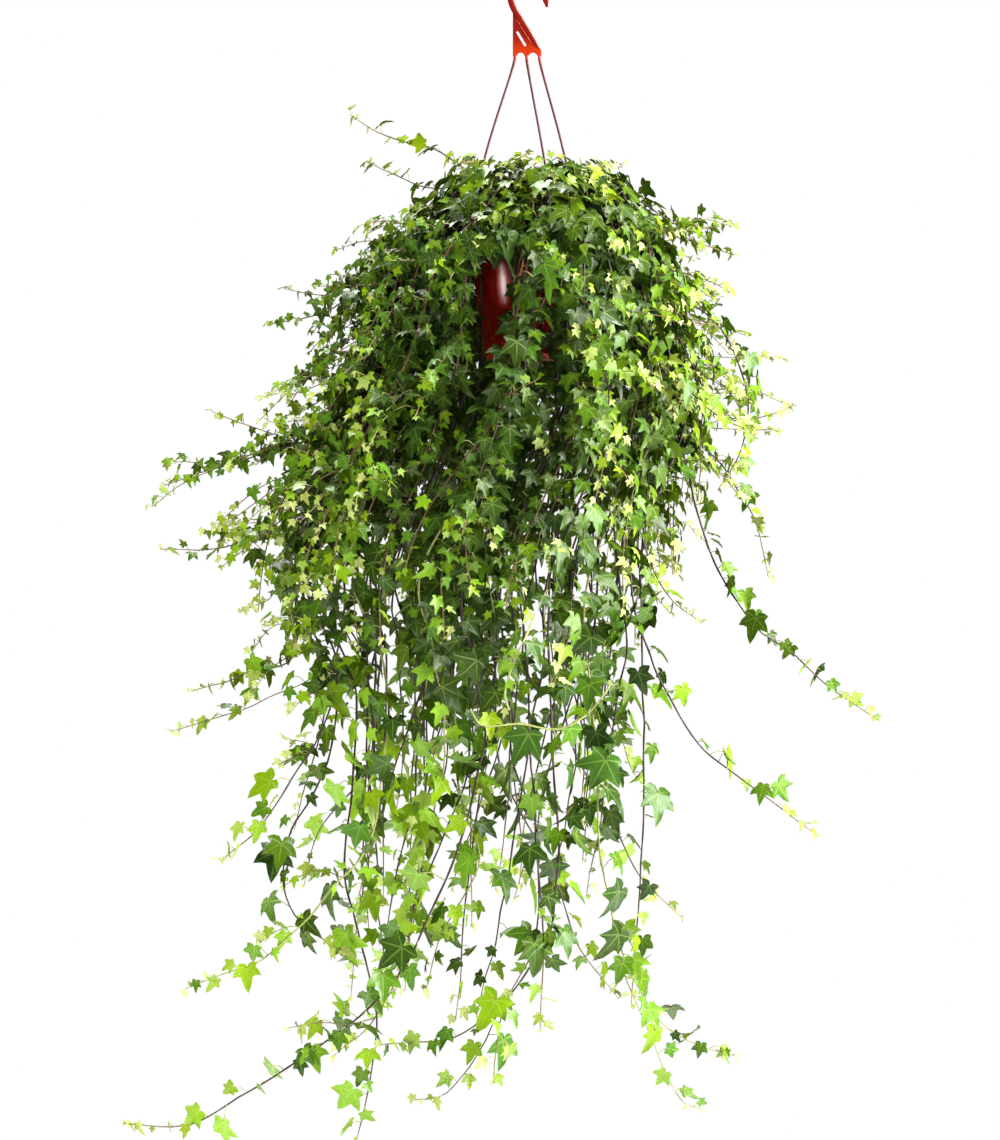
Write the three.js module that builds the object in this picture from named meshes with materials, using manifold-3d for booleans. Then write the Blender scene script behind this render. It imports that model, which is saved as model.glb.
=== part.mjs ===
// Trailing English ivy in a hanging pot: a plastic pot on a moulded hanger, filled with soil, with twelve
// rooted ivy plants whose vines arch over the rim and hang down in a long curtain.
// Millimetres, +Z up. The origin is the inner top of the hook, where the rail or ceiling hook bears.
// The front of the pot faces -Y.
import * as THREE from 'three';
import { mergeVertices } from 'three/addons/utils/BufferGeometryUtils.js';
import Module from 'manifold-3d';

const wasm = await Module();
wasm.setup();

// Hook and fan plate of the hanger
const HOOK_INNER_RADIUS = 18;
const BAR_WIDTH = 8;
const BAR_DEPTH = 6;
const WEB_DEPTH = 2.8;
const HOOK_END_Z = -35.5;
const PLATE_LEFT = -18.5;
const PLATE_BOTTOM = -96;
const SLOT_RADIUS = 1.6;
const LEG_X = [-16.5, -1.8, 14.2];

// Rods from the fan plate to the rim
const ROD_RADIUS = 1.4;
const ROD_SIDES = 5;
const ROD_BEND = 3;
const ROD_AZIMUTHS = [190, 70, 310];

// Pot: a rim with a turned-down skirt over a tapering wall
const POT_X = 8;
const RIM_Z = -324;
const RIM_RADIUS = 93;
const POT_HEIGHT = 150;
const BASE_RADIUS = 62;
const WALL = 2;
const SKIRT_HEIGHT = 26;
const SHOULDER_RADIUS = 83;
const POT_SIDES = 24;
const LUG_RADIUS = 86.8;
const LUG_HOLE_RADIUS = 2.4;
const DRAIN_COUNT = 5;
const DRAIN_RADIUS = 4;
const DRAIN_CIRCLE = 44;

// Soil, with a hole for the woody foot of each plant
const SOIL_DROP = 13;
const SOIL_GAP = 0.4;
const PLANT_COUNT = 12;
const FOOT_CIRCLE = 58;
const FOOT_RADIUS = 3.6;
const FOOT_DEPTH = 45;

// Ivy: how far the foliage spreads from the pot's axis at each height (z, shift of its middle in X, radius)
const SPREAD = [
  [-225, 0, 60], [-239, 0, 100], [-295, 0, 147], [-330, 0, 190], [-389, -10, 219], [-464, -10, 241],
  [-526, -10, 262], [-600, -45, 256], [-701, -95, 246], [-776, -110, 244], [-851, -90, 212],
  [-950, -90, 212], [-1300, -90, 190],
];
const SPREAD_DEPTH = 0.87;
const SECTOR = 360 / PLANT_COUNT;
const VINE_RADIUS = 2.2;
const FORK_RADIUS = 1.9;
const VINE_SIDES = 3;
const VINE_STEP = 75;
const STALK_RADIUS = 0.75;
const LEAF_THICKNESS = 0.8;
const LEAF_SPACING = 420;
const TIP_SPACING = 120;
const GROWN_LEAF = 40;
const TIP_LEAF = 18;
const TIP_STRETCH = 280;
const COVER_LEAF = 96;
const CROWN_LEAF = 60;
const COVER_STEP = 72;
const LEAF_TRIES = 14;
const CORE_GAP = 1.5;

// Half outlines of the leaves one unit long, from the stalk to the middle lobe's tip, mirrored to full ones
const FIVE_LOBES = [[0.42, -0.14], [0.3, 0.15], [0.6, 0.42], [0.21, 0.5]];
const THREE_LOBES = [[0.5, 0.1], [0.2, 0.42]];

// The gap in the front leaves where the pot shows: an upright oval, cut through from the front to the pot
const GAP_X = -35;
const GAP_Z = -431;
const GAP_HALF_WIDTH = 38;
const GAP_HALF_HEIGHT = 62;
const GAP_FRONT = -330;
const GAP_BACK = -96;

const degrees = THREE.MathUtils.degToRad;
const vec = (x, y, z) => new THREE.Vector3(x, y, z);

// Turns a closed geometry into a solid that can be joined and cut
function solid(geometry) {
  const bare = geometry.clone();
  bare.deleteAttribute('normal');
  bare.deleteAttribute('uv');
  const merged = mergeVertices(bare, 1e-4);
  const index = merged.index.array;
  const triangles = [];
  for (let i = 0; i < index.length; i += 3) {
    const [a, b, c] = [index[i], index[i + 1], index[i + 2]];
    if (a !== b && b !== c && c !== a) triangles.push(a, b, c);
  }
  return new wasm.Manifold(new wasm.Mesh({
    numProp: 3,
    vertProperties: merged.attributes.position.array,
    triVerts: Uint32Array.from(triangles),
  }));
}

const join = (solids) => solids.reduce((sum, next) => sum.add(next));

// Keeps the largest body, so that loose scraps and the skins of sealed hollows are dropped
function largest(body) {
  return body.decompose().sort((a, b) => b.volume() - a.volume())[0];
}

function namedMesh(name, body, material) {
  const data = body.getMesh();
  const geometry = new THREE.BufferGeometry();
  geometry.setAttribute('position', new THREE.BufferAttribute(data.vertProperties, 3));
  geometry.setIndex(new THREE.BufferAttribute(data.triVerts, 1));
  const mesh = new THREE.Mesh(geometry, material);
  mesh.name = name;
  return mesh;
}

// A bar of regular section that follows a smooth curve through the points
function tube(points, radius, sides, steps) {
  const section = new THREE.Shape();
  for (let i = 0; i < sides; i += 1) {
    const turn = (2 * Math.PI * i) / sides;
    section[i ? 'lineTo' : 'moveTo'](radius * Math.cos(turn), radius * Math.sin(turn));
  }
  const path = points.length > 2 ? new THREE.CatmullRomCurve3(points) : new THREE.LineCurve3(...points);
  return solid(new THREE.ExtrudeGeometry(section, { steps, extrudePath: path }));
}

// A flat shape drawn in X and Z, given its depth along Y about the middle plane
function plate(shape, depth, segments) {
  const options = { depth, bevelEnabled: false, curveSegments: segments };
  const geometry = new THREE.ExtrudeGeometry(shape, options);
  geometry.translate(0, 0, -depth / 2);
  geometry.rotateX(Math.PI / 2);
  return solid(geometry);
}

// An upright round bar between two heights
function post(x, y, low, high, radius, sides, topRadius = radius) {
  const geometry = new THREE.CylinderGeometry(topRadius, radius, high - low, sides);
  geometry.rotateX(Math.PI / 2);
  geometry.translate(x, y, (low + high) / 2);
  return solid(geometry);
}

function latheSolid(profile, sides) {
  const geometry = new THREE.LatheGeometry(profile.map(([r, z]) => new THREE.Vector2(r, z)), sides);
  geometry.rotateX(Math.PI / 2);
  geometry.translate(POT_X, 0, RIM_Z);
  return solid(geometry);
}

const aroundPot = (azimuth, radius, z) => vec(
  POT_X + radius * Math.cos(degrees(azimuth)),
  radius * Math.sin(degrees(azimuth)),
  z,
);

// The hook and the slanting bar below it are one thick bar; its open end is cut on the slant
function hookBar() {
  const outer = HOOK_INNER_RADIUS + BAR_WIDTH;
  const shape = new THREE.Shape();
  shape.moveTo(outer - 0.6, HOOK_END_Z);
  shape.absarc(0, -HOOK_INNER_RADIUS, outer, 0, Math.PI, false);
  shape.bezierCurveTo(-outer, -30, -21, -38, -18, -45);
  shape.lineTo(8, -88);
  shape.lineTo(15.8, -91);
  shape.lineTo(12.5, -83);
  shape.lineTo(-14, -35);
  shape.quadraticCurveTo(-HOOK_INNER_RADIUS, -28, -HOOK_INNER_RADIUS, -HOOK_INNER_RADIUS);
  shape.absarc(0, -HOOK_INNER_RADIUS, HOOK_INNER_RADIUS, Math.PI, 0, true);
  shape.lineTo(HOOK_INNER_RADIUS, HOOK_END_Z + 9);
  shape.lineTo(outer - 2.4, HOOK_END_Z);
  return plate(shape, BAR_DEPTH, 10);
}

// The thin fan-shaped web: an upright left edge, three legs with arches between them, and a slanting slot
function fanWeb() {
  const [left, middle, right] = LEG_X;
  const archTop = PLATE_BOTTOM + 5;
  const leg = ROD_RADIUS + 0.4;
  const shape = new THREE.Shape();
  shape.moveTo(PLATE_LEFT, -44);
  shape.lineTo(PLATE_LEFT, PLATE_BOTTOM);
  shape.lineTo(left + leg, PLATE_BOTTOM);
  shape.quadraticCurveTo((left + middle) / 2, archTop + 3, middle - leg, PLATE_BOTTOM);
  shape.lineTo(middle + leg, PLATE_BOTTOM);
  shape.quadraticCurveTo((middle + right) / 2, archTop + 3, right - leg, PLATE_BOTTOM);
  shape.lineTo(right + leg, PLATE_BOTTOM);
  shape.lineTo(right + leg, -89);
  shape.lineTo(12, -84);
  shape.lineTo(-15, -42);
  const slot = new THREE.Path();
  const slant = Math.atan2(-16, 9.5);
  slot.absarc(-3.6, -83, SLOT_RADIUS, slant - Math.PI / 2, slant + Math.PI / 2, false);
  slot.absarc(-13.1, -67, SLOT_RADIUS, slant + Math.PI / 2, slant + (3 * Math.PI) / 2, false);
  shape.holes.push(slot);
  return plate(shape, WEB_DEPTH, 4);
}

// A rod leaves its leg, bows out a little on the way down, and stands upright through the rim's hole,
// where a barb under the flange holds the pot
function rod(index, radius = ROD_RADIUS) {
  const azimuth = ROD_AZIMUTHS[index];
  const top = vec(LEG_X[index], 0, PLATE_BOTTOM + 3);
  const neck = vec(LEG_X[index], 0, PLATE_BOTTOM - 4);
  const elbow = aroundPot(azimuth, LUG_RADIUS - 1, RIM_Z + 8);
  const foot = aroundPot(azimuth, LUG_RADIUS, RIM_Z - 4);
  const middle = neck.clone().lerp(elbow, 0.5);
  const outwards = elbow.clone().sub(vec(POT_X, 0, elbow.z)).normalize();
  middle.addScaledVector(outwards, ROD_BEND);
  const barbTop = RIM_Z - WALL - 0.9;
  const barb = post(foot.x, foot.y, barbTop - 8, barbTop, 1.1, 8, 3.1);
  return tube([top, neck, middle, elbow, foot], radius, ROD_SIDES, 10).add(barb);
}

function hanger() {
  return join([hookBar(), fanWeb(), ...LEG_X.map((x, index) => rod(index))]);
}

function innerRadius(drop) {
  const fall = (drop - WALL) / (POT_HEIGHT - WALL);
  return THREE.MathUtils.lerp(SHOULDER_RADIUS, BASE_RADIUS, fall) - WALL;
}

function pot() {
  const profile = [
    [0, -POT_HEIGHT],
    [BASE_RADIUS - 3, -POT_HEIGHT],
    [BASE_RADIUS, -POT_HEIGHT + 3],
    [SHOULDER_RADIUS, -WALL - 0.5],
    [RIM_RADIUS - WALL, -WALL - 0.5],
    [RIM_RADIUS - WALL, -SKIRT_HEIGHT],
    [RIM_RADIUS, -SKIRT_HEIGHT],
    [RIM_RADIUS, -1.2],
    [RIM_RADIUS - 1.2, 0],
    [SHOULDER_RADIUS - WALL + 1, 0],
    [SHOULDER_RADIUS - WALL, -1.2],
    [innerRadius(POT_HEIGHT - 2.5), -POT_HEIGHT + 2.5],
    [0, -POT_HEIGHT + 2.5],
  ];
  let body = latheSolid(profile, POT_SIDES);
  for (const azimuth of ROD_AZIMUTHS) {
    const { x, y } = aroundPot(azimuth, LUG_RADIUS, 0);
    body = body.subtract(post(x, y, RIM_Z - 5, RIM_Z + 5, LUG_HOLE_RADIUS, 8));
  }
  const floor = RIM_Z - POT_HEIGHT;
  for (let i = 0; i < DRAIN_COUNT; i += 1) {
    const { x, y } = aroundPot((360 * i) / DRAIN_COUNT, DRAIN_CIRCLE, 0);
    body = body.subtract(post(x, y, floor - 5, floor + 5, DRAIN_RADIUS, 8));
  }
  return body;
}

const plantAzimuth = (plant) => 85 + (360 * plant) / PLANT_COUNT;

function soil() {
  const bottom = POT_HEIGHT - 2.5 - SOIL_GAP;
  const profile = [
    [0, -bottom],
    [innerRadius(bottom) - SOIL_GAP - 0.4, -bottom],
    [innerRadius(SOIL_DROP) - SOIL_GAP, -SOIL_DROP],
    [64, -SOIL_DROP + 3],
    [0, -SOIL_DROP + 5],
  ];
  let body = latheSolid(profile, POT_SIDES);
  const holeFloor = RIM_Z - SOIL_DROP - FOOT_DEPTH;
  for (let plant = 0; plant < PLANT_COUNT; plant += 1) {
    const { x, y } = aroundPot(plantAzimuth(plant), FOOT_CIRCLE, 0);
    body = body.subtract(post(x, y, holeFloor, RIM_Z, FOOT_RADIUS + 0.4, 6));
  }
  return body;
}

// Random numbers from 0 to 1 that are the same in every run
function seeded(seed) {
  let state = seed | 0;
  return () => {
    state = (state + 0x6d2b79f5) | 0;
    let t = Math.imul(state ^ (state >>> 15), 1 | state);
    t = (t + Math.imul(t ^ (t >>> 7), 61 | t)) ^ t;
    return ((t ^ (t >>> 14)) >>> 0) / 4294967296;
  };
}

const spreadAt = (z) => {
  const last = SPREAD.length - 1;
  if (z >= SPREAD[0][0]) return SPREAD[0].slice(1);
  if (z <= SPREAD[last][0]) return SPREAD[last].slice(1);
  const lower = SPREAD.findIndex(([height]) => height <= z);
  const [above, below] = [SPREAD[lower - 1], SPREAD[lower]];
  const share = (above[0] - z) / (above[0] - below[0]);
  return [1, 2].map((k) => THREE.MathUtils.lerp(above[k], below[k], share));
};

// A point at an azimuth and radius round the middle of the foliage, which is round at the rim and
// a little flatter from front to back lower down
function amongLeaves(azimuth, radius, z) {
  const [shift] = spreadAt(z);
  const lower = THREE.MathUtils.clamp((RIM_Z - z) / 150, 0, 1);
  const depth = THREE.MathUtils.lerp(1, SPREAD_DEPTH, lower);
  const turn = degrees(azimuth);
  return vec(POT_X + shift + radius * Math.cos(turn), radius * depth * Math.sin(turn), z);
}

const onSpread = (azimuth, reach, z) => amongLeaves(azimuth, reach * spreadAt(z)[1], z);

// Vines of each plant. Each comes out of the crown or the core and hangs on the spread (reach 1 is the
// spread's full radius) until the given height. Its azimuth differs from its plant's by `lean` degrees at the
// crown and by `low` degrees further down. The tail's points were chosen by hand, and a fork grows from tail
// point `from`.
const VINES = [
  {
    plant: 0, lean: -7, low: -5, reach: 0.95, until: -1000,
    tail: [[30, 150, -1120], [70, 170, -1230], [120, 185, -1300]],
  },
  {
    plant: 0, lean: 9, low: 11, reach: 1, until: -600,
    tail: [[-60, 290, -690], [-65, 360, -745], [-70, 410, -770]],
  },
  { plant: 0, lean: 1, low: 1, reach: 0.88, until: -900, tail: [] },
  {
    plant: 1, lean: -6, low: -3, reach: 0.9, until: -1080,
    tail: [[-150, 130, -1200], [-190, 140, -1310], [-250, 150, -1370]],
  },
  { plant: 1, lean: 8, low: 5, reach: 1, until: -480, tail: [[-160, 290, -560], [-190, 345, -600]] },
  {
    plant: 2, lean: 5, low: 5, reach: 0.8, until: -240,
    tail: [[-125, 60, -255], [-165, 65, -240], [-205, 70, -220]],
  },
  {
    plant: 2, lean: 11, low: 11, reach: 0.95, until: -330,
    tail: [[-225, 75, -385], [-265, 80, -390], [-310, 85, -380]],
  },
  {
    plant: 2, lean: 7, low: 7, reach: 0.95, until: -580,
    tail: [[-300, 105, -680], [-345, 108, -695], [-395, 110, -708], [-472, 112, -712]],
  },
  { plant: 2, lean: -5, low: -3, reach: 0.9, until: -980, tail: [[-270, 140, -1080], [-290, 150, -1150]] },
  {
    plant: 3, lean: -3, low: -3, reach: 0.8, until: -225,
    tail: [[-110, -5, -218], [-160, -10, -203], [-195, -15, -189], [-222, -20, -172]],
  },
  {
    plant: 3, lean: 3, low: 3, reach: 0.95, until: -480,
    tail: [[-245, -5, -560], [-296, -10, -584], [-352, -15, -602], [-400, -20, -617], [-453, -20, -634]],
  },
  { plant: 3, lean: -5, low: -5, reach: 0.95, until: -640, tail: [[-318, 25, -765], [-361, 25, -790]] },
  {
    plant: 3, lean: 8, low: 10, reach: 0.9, until: -720,
    tail: [[-292, -40, -848], [-356, -45, -870], [-417, -50, -889]],
  },
  {
    plant: 4, lean: -8, low: -8, reach: 0.95, until: -330,
    tail: [[-235, -80, -415], [-280, -90, -431], [-319, -98, -440]],
  },
  { plant: 4, lean: 2, low: 2, reach: 0.95, until: -600, tail: [[-323, -130, -700], [-372, -135, -735]] },
  {
    plant: 4, lean: 7, low: 9, reach: 0.95, until: -860,
    tail: [[-277, -135, -978], [-322, -140, -1043], [-372, -145, -1090]],
  },
  {
    plant: 4, lean: -3, low: 1, reach: 0.95, until: -900,
    tail: [[-262, -90, -1010], [-295, -100, -1070], [-300, -105, -1116], [-283, -105, -1163],
      [-242, -98, -1193], [-204, -92, -1219]],
  },
  {
    plant: 4, lean: -12, low: -5, reach: 0.8, until: -930,
    tail: [[-225, -62, -1119], [-200, -65, -1217], [-189, -68, -1290], [-194, -72, -1356],
      [-210, -78, -1435], [-223, -80, -1469]],
    forks: [{ from: 2, tail: [[-224, -85, -1294], [-256, -98, -1290], [-295, -110, -1297]] }],
  },
  {
    plant: 5, lean: 5, low: 1, reach: 0.9, until: -930,
    tail: [[-196, -168, -1074], [-250, -178, -1138], [-318, -182, -1201], [-362, -182, -1221],
      [-413, -178, -1241]],
  },
  { plant: 5, lean: -8, low: -8, reach: 0.92, until: -900, tail: [] },
  { plant: 5, lean: -2, low: -1, reach: 1, until: -640, tail: [[-210, -250, -720], [-240, -300, -770]] },
  {
    plant: 6, lean: 8, low: 8, reach: 0.85, until: -950,
    tail: [[-90, -168, -1080], [-119, -176, -1150], [-155, -184, -1227], [-202, -190, -1270],
      [-273, -196, -1319], [-368, -200, -1380], [-415, -200, -1399], [-480, -200, -1397]],
  },
  { plant: 6, lean: 12, low: -1, reach: 0.98, until: -820, tail: [] },
  { plant: 6, lean: 4, low: -7, reach: 0.9, until: -980, tail: [[-150, -150, -1060]] },
  {
    plant: 7, lean: 8, low: 8, reach: 0.95, until: -980,
    tail: [[35, -125, -1103], [21, -127, -1193], [-29, -130, -1257], [-93, -140, -1304],
      [-179, -150, -1310]],
    forks: [
      { from: 2, tail: [[-60, -110, -1321], [-105, -98, -1381], [-140, -95, -1384]] },
      { from: 2, tail: [[-38, -155, -1304], [-44, -170, -1353]] },
    ],
  },
  {
    plant: 7, lean: 2, low: -1, reach: 0.9, until: -960,
    tail: [[10, -175, -1080], [15, -180, -1180], [14, -180, -1290]],
  },
  { plant: 7, lean: -7, low: -7, reach: 1, until: -500, tail: [[90, -285, -590], [115, -330, -640]] },
  {
    plant: 8, lean: -1, low: -1, reach: 0.95, until: -940,
    tail: [[85, -95, -1065], [102, -95, -1165], [126, -95, -1234], [163, -97, -1291], [209, -100, -1318],
      [251, -100, -1331]],
    forks: [
      { from: 1, tail: [[122, -112, -1243], [149, -125, -1311], [187, -135, -1382], [208, -135, -1389]] },
    ],
  },
  {
    plant: 8, lean: -8, low: -8, reach: 0.95, until: -440,
    tail: [[211, -145, -540], [260, -150, -568], [297, -152, -569]],
  },
  { plant: 8, lean: 8, low: 8, reach: 0.92, until: -640, tail: [[170, -85, -770], [212, -90, -802]] },
  {
    plant: 9, lean: -6, low: -6, reach: 0.95, until: -720,
    tail: [[150, -40, -850], [176, -48, -899], [211, -55, -954], [263, -60, -1000], [315, -65, -1036],
      [358, -68, -1066]],
  },
  {
    plant: 9, lean: 2, low: 2, reach: 0.92, until: -560,
    tail: [[215, -12, -680], [238, -16, -741], [276, -20, -799], [325, -24, -841], [384, -26, -890],
      [436, -28, -926]],
  },
  { plant: 9, lean: 7, low: 7, reach: 0.88, until: -860, tail: [[130, 5, -985], [156, 5, -1024]] },
  {
    plant: 9, lean: -3, low: -3, reach: 0.8, until: -250,
    tail: [[139, -20, -279], [182, -25, -310], [222, -30, -326]],
  },
  {
    plant: 10, lean: -5, low: -5, reach: 0.95, until: -370,
    tail: [[240, 75, -425], [268, 80, -470], [280, 82, -525], [271, 82, -586], [243, 80, -638]],
  },
  {
    plant: 10, lean: 1, low: 1, reach: 0.85, until: -250,
    tail: [[158, 70, -285], [207, 82, -318], [265, 92, -336]],
  },
  {
    plant: 10, lean: 6, low: 6, reach: 1, until: -520,
    tail: [[265, 170, -620], [300, 195, -680], [318, 208, -750]],
  },
  {
    plant: 11, lean: -7, low: -7, reach: 0.95, until: -960,
    tail: [[110, 130, -1060], [150, 145, -1140], [200, 155, -1190]],
  },
  { plant: 11, lean: 7, low: 7, reach: 1, until: -430, tail: [[140, 265, -480], [165, 320, -530]] },
];

// Heights that a hanging vine is drawn through
const HANG_HEIGHTS = [-370, -450, -540, -640, -750, -860, -970, -1080];
const CROWN_END = -300;
const LEAN_FALL = 600;

// The leafy core of a plant: a lumpy pad over its share of the crown and down the curtain. Each row gives its
// outer and its inner side as radius and height, and how much of its sector it fills.
const CORE_ROWS = [
  [[24, -268], [24, -312], 1],
  [[84, -270], [92, -314], 1],
  [[128, -322], [108, -338], 1],
  [[168, -400], [138, -404], 1],
  [[192, -520], [166, -520], 1],
  [[192, -660], [170, -660], 0.85],
  [[168, -790], [154, -790], 0.4],
];
const CORE_COLUMNS = 2;
const CORE_LUMP = 16;
const CORE_FOOT = -690;
const VINE_OUTSIDE = 170;

// The corner or point between two rows of a core, by height: outer and inner radius
function coreRadii(z) {
  const lower = Math.max(1, CORE_ROWS.findIndex(([outer]) => outer[1] <= z));
  const [above, below] = [CORE_ROWS[lower - 1], CORE_ROWS[lower]];
  return [0, 1].map((side) => {
    const share = THREE.MathUtils.clamp((above[side][1] - z) / (above[side][1] - below[side][1]), 0, 1);
    return THREE.MathUtils.lerp(above[side][0], below[side][0], share);
  });
}

function core(plant, random) {
  const geometry = new THREE.BoxGeometry(1, 1, 1, CORE_COLUMNS, CORE_ROWS.length - 1, 1);
  geometry.deleteAttribute('normal');
  geometry.deleteAttribute('uv');
  const merged = mergeVertices(geometry, 1e-4);
  const places = merged.attributes.position;
  for (let i = 0; i < places.count; i += 1) {
    const across = places.getX(i);
    const row = Math.round((0.5 - places.getY(i)) * (CORE_ROWS.length - 1));
    const outside = places.getZ(i) > 0;
    const [radius, z] = CORE_ROWS[row][outside ? 0 : 1];
    const lump = outside && row > 0 ? (random() - 0.5) * CORE_LUMP : 0;
    const narrowing = THREE.MathUtils.radToDeg(Math.atan2(CORE_GAP, radius));
    const azimuth = plantAzimuth(plant) + across * CORE_ROWS[row][2] * (SECTOR - 2 * narrowing);
    const place = amongLeaves(azimuth, radius + lump, z + lump * 0.5);
    places.setXYZ(i, place.x, place.y, place.z);
  }
  return solid(merged);
}

// Woody foot of a plant, standing in its hole in the soil
function footPost(plant) {
  const { x, y } = aroundPot(plantAzimuth(plant), FOOT_CIRCLE, 0);
  return post(x, y, RIM_Z - SOIL_DROP - FOOT_DEPTH + SOIL_GAP, RIM_Z + 22, FOOT_RADIUS, 6);
}

// A crown shoot starts over the foot of its plant; a hanging vine leaves the core some way above the height
// where its tail begins
function vineRoute({ plant, lean, low, reach, until, tail }, random) {
  const wander = (amount) => (random() - 0.5) * amount;
  const turnAt = (z) => {
    const fall = THREE.MathUtils.clamp((CROWN_END - z) / LEAN_FALL, 0, 1);
    return THREE.MathUtils.lerp(lean, low, fall);
  };
  const start = plantAzimuth(plant);
  const points = [];
  let from = CROWN_END;
  if (until > CROWN_END) {
    points.push(aroundPot(start + 0.8 * lean, FOOT_CIRCLE + 8, RIM_Z + 36));
    points.push(aroundPot(start + lean, 96 * reach, -255 + wander(16)));
  } else {
    from = THREE.MathUtils.clamp(until + VINE_OUTSIDE, CORE_FOOT, RIM_Z);
    const [outer, inner] = coreRadii(from);
    const turn = THREE.MathUtils.clamp(turnAt(from), -8, 8);
    points.push(amongLeaves(start + turn, (outer + inner) / 2, from));
    HANG_HEIGHTS.filter((z) => z < from - 50 && z > until + 30).concat(until).forEach((z) => {
      points.push(onSpread(start + turnAt(z) + wander(3), reach * 0.92 + wander(0.05), z));
    });
  }
  tail.forEach(([x, y, z]) => points.push(vec(x, y, z)));
  return points;
}

// A leaf in its own frame (X across, Y to the middle lobe, Z out of the upper face): a pleated blade whose
// two faces fan out alike from the stalk to the lobes, so its thickness is even, and a stalk that runs on from
// the blade's notch to a three-cornered end at the root
function leafGeometry(size, lobes, thickness, droop, root, stalkRadius) {
  const half = lobes.map(([x, y]) => [x * size, y * size]);
  const mirrored = half.map(([x, y]) => [-x, y]).reverse();
  const outline = [[stalkRadius, 0], ...half, [0, size], ...mirrored, [-stalkRadius, 0]];
  const count = outline.length;
  const corners = [];
  for (const face of [1, -1]) {
    outline.forEach(([x, y], k) => {
      const far = Math.hypot(x, y) / size;
      const lift = k % 2 ? -droop * far * far : -0.35 * droop * far;
      corners.push(x, y, lift * size + (face * thickness) / 2);
    });
  }
  const back = root.clone().normalize();
  const wide = vec(1, 0, 0).addScaledVector(back, -back.x).normalize();
  const deep = new THREE.Vector3().crossVectors(back, wide);
  [[0, 1.2], [-1, -0.7], [1, -0.7]].forEach(([u, v]) => {
    const corner = root.clone().addScaledVector(wide, u * stalkRadius);
    corner.addScaledVector(deep, v * stalkRadius);
    corners.push(corner.x, corner.y, corner.z);
  });
  const index = [];
  for (let k = 1; k < count - 1; k += 1) {
    index.push(0, k, k + 1);
    index.push(count, count + k + 1, count + k);
  }
  for (let k = 0; k < count - 1; k += 1) {
    index.push(k, count + k, k + 1);
    index.push(k + 1, count + k, count + k + 1);
  }
  const [topLeft, lowLeft, lowRight] = [count - 1, 2 * count - 1, count];
  const [endTop, endLeft, endRight] = [2 * count, 2 * count + 1, 2 * count + 2];
  index.push(0, topLeft, endTop);
  index.push(topLeft, lowLeft, endLeft);
  index.push(topLeft, endLeft, endTop);
  index.push(lowLeft, lowRight, endRight);
  index.push(lowLeft, endRight, endLeft);
  index.push(lowRight, 0, endTop);
  index.push(lowRight, endTop, endRight);
  index.push(endTop, endLeft, endRight);
  const geometry = new THREE.BufferGeometry();
  geometry.setAttribute('position', new THREE.Float32BufferAttribute(corners, 3));
  geometry.setIndex(index);
  return geometry;
}

// A leaf set on its vine; `swell` makes the thicker copy that tests its room
function leaf(root, frame, { size, lobes, droop }, swell) {
  const local = root.clone().applyMatrix4(frame.clone().invert());
  const [thickness, stalkRadius] = [LEAF_THICKNESS + swell * 1.2, STALK_RADIUS + swell * 0.5];
  const geometry = leafGeometry(size * (1 + swell * 0.04), lobes, thickness, droop, local, stalkRadius);
  return solid(geometry.applyMatrix4(frame));
}

// Everything that is placed so far, with its owner and kind
const room = [];

function keep(owner, kind, body) {
  room.push({ owner, kind, body, box: body.boundingBox() });
}

const apart = (a, b) => [0, 1, 2].some((k) => a.max[k] < b.min[k] || b.max[k] < a.min[k]);

// True where the body meets nothing that is in the way
function isClear(body, inTheWay) {
  const box = body.boundingBox();
  return room.every((other) => (
    !inTheWay(other) || apart(box, other.box) || body.intersect(other.body).isEmpty()
  ));
}

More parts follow.
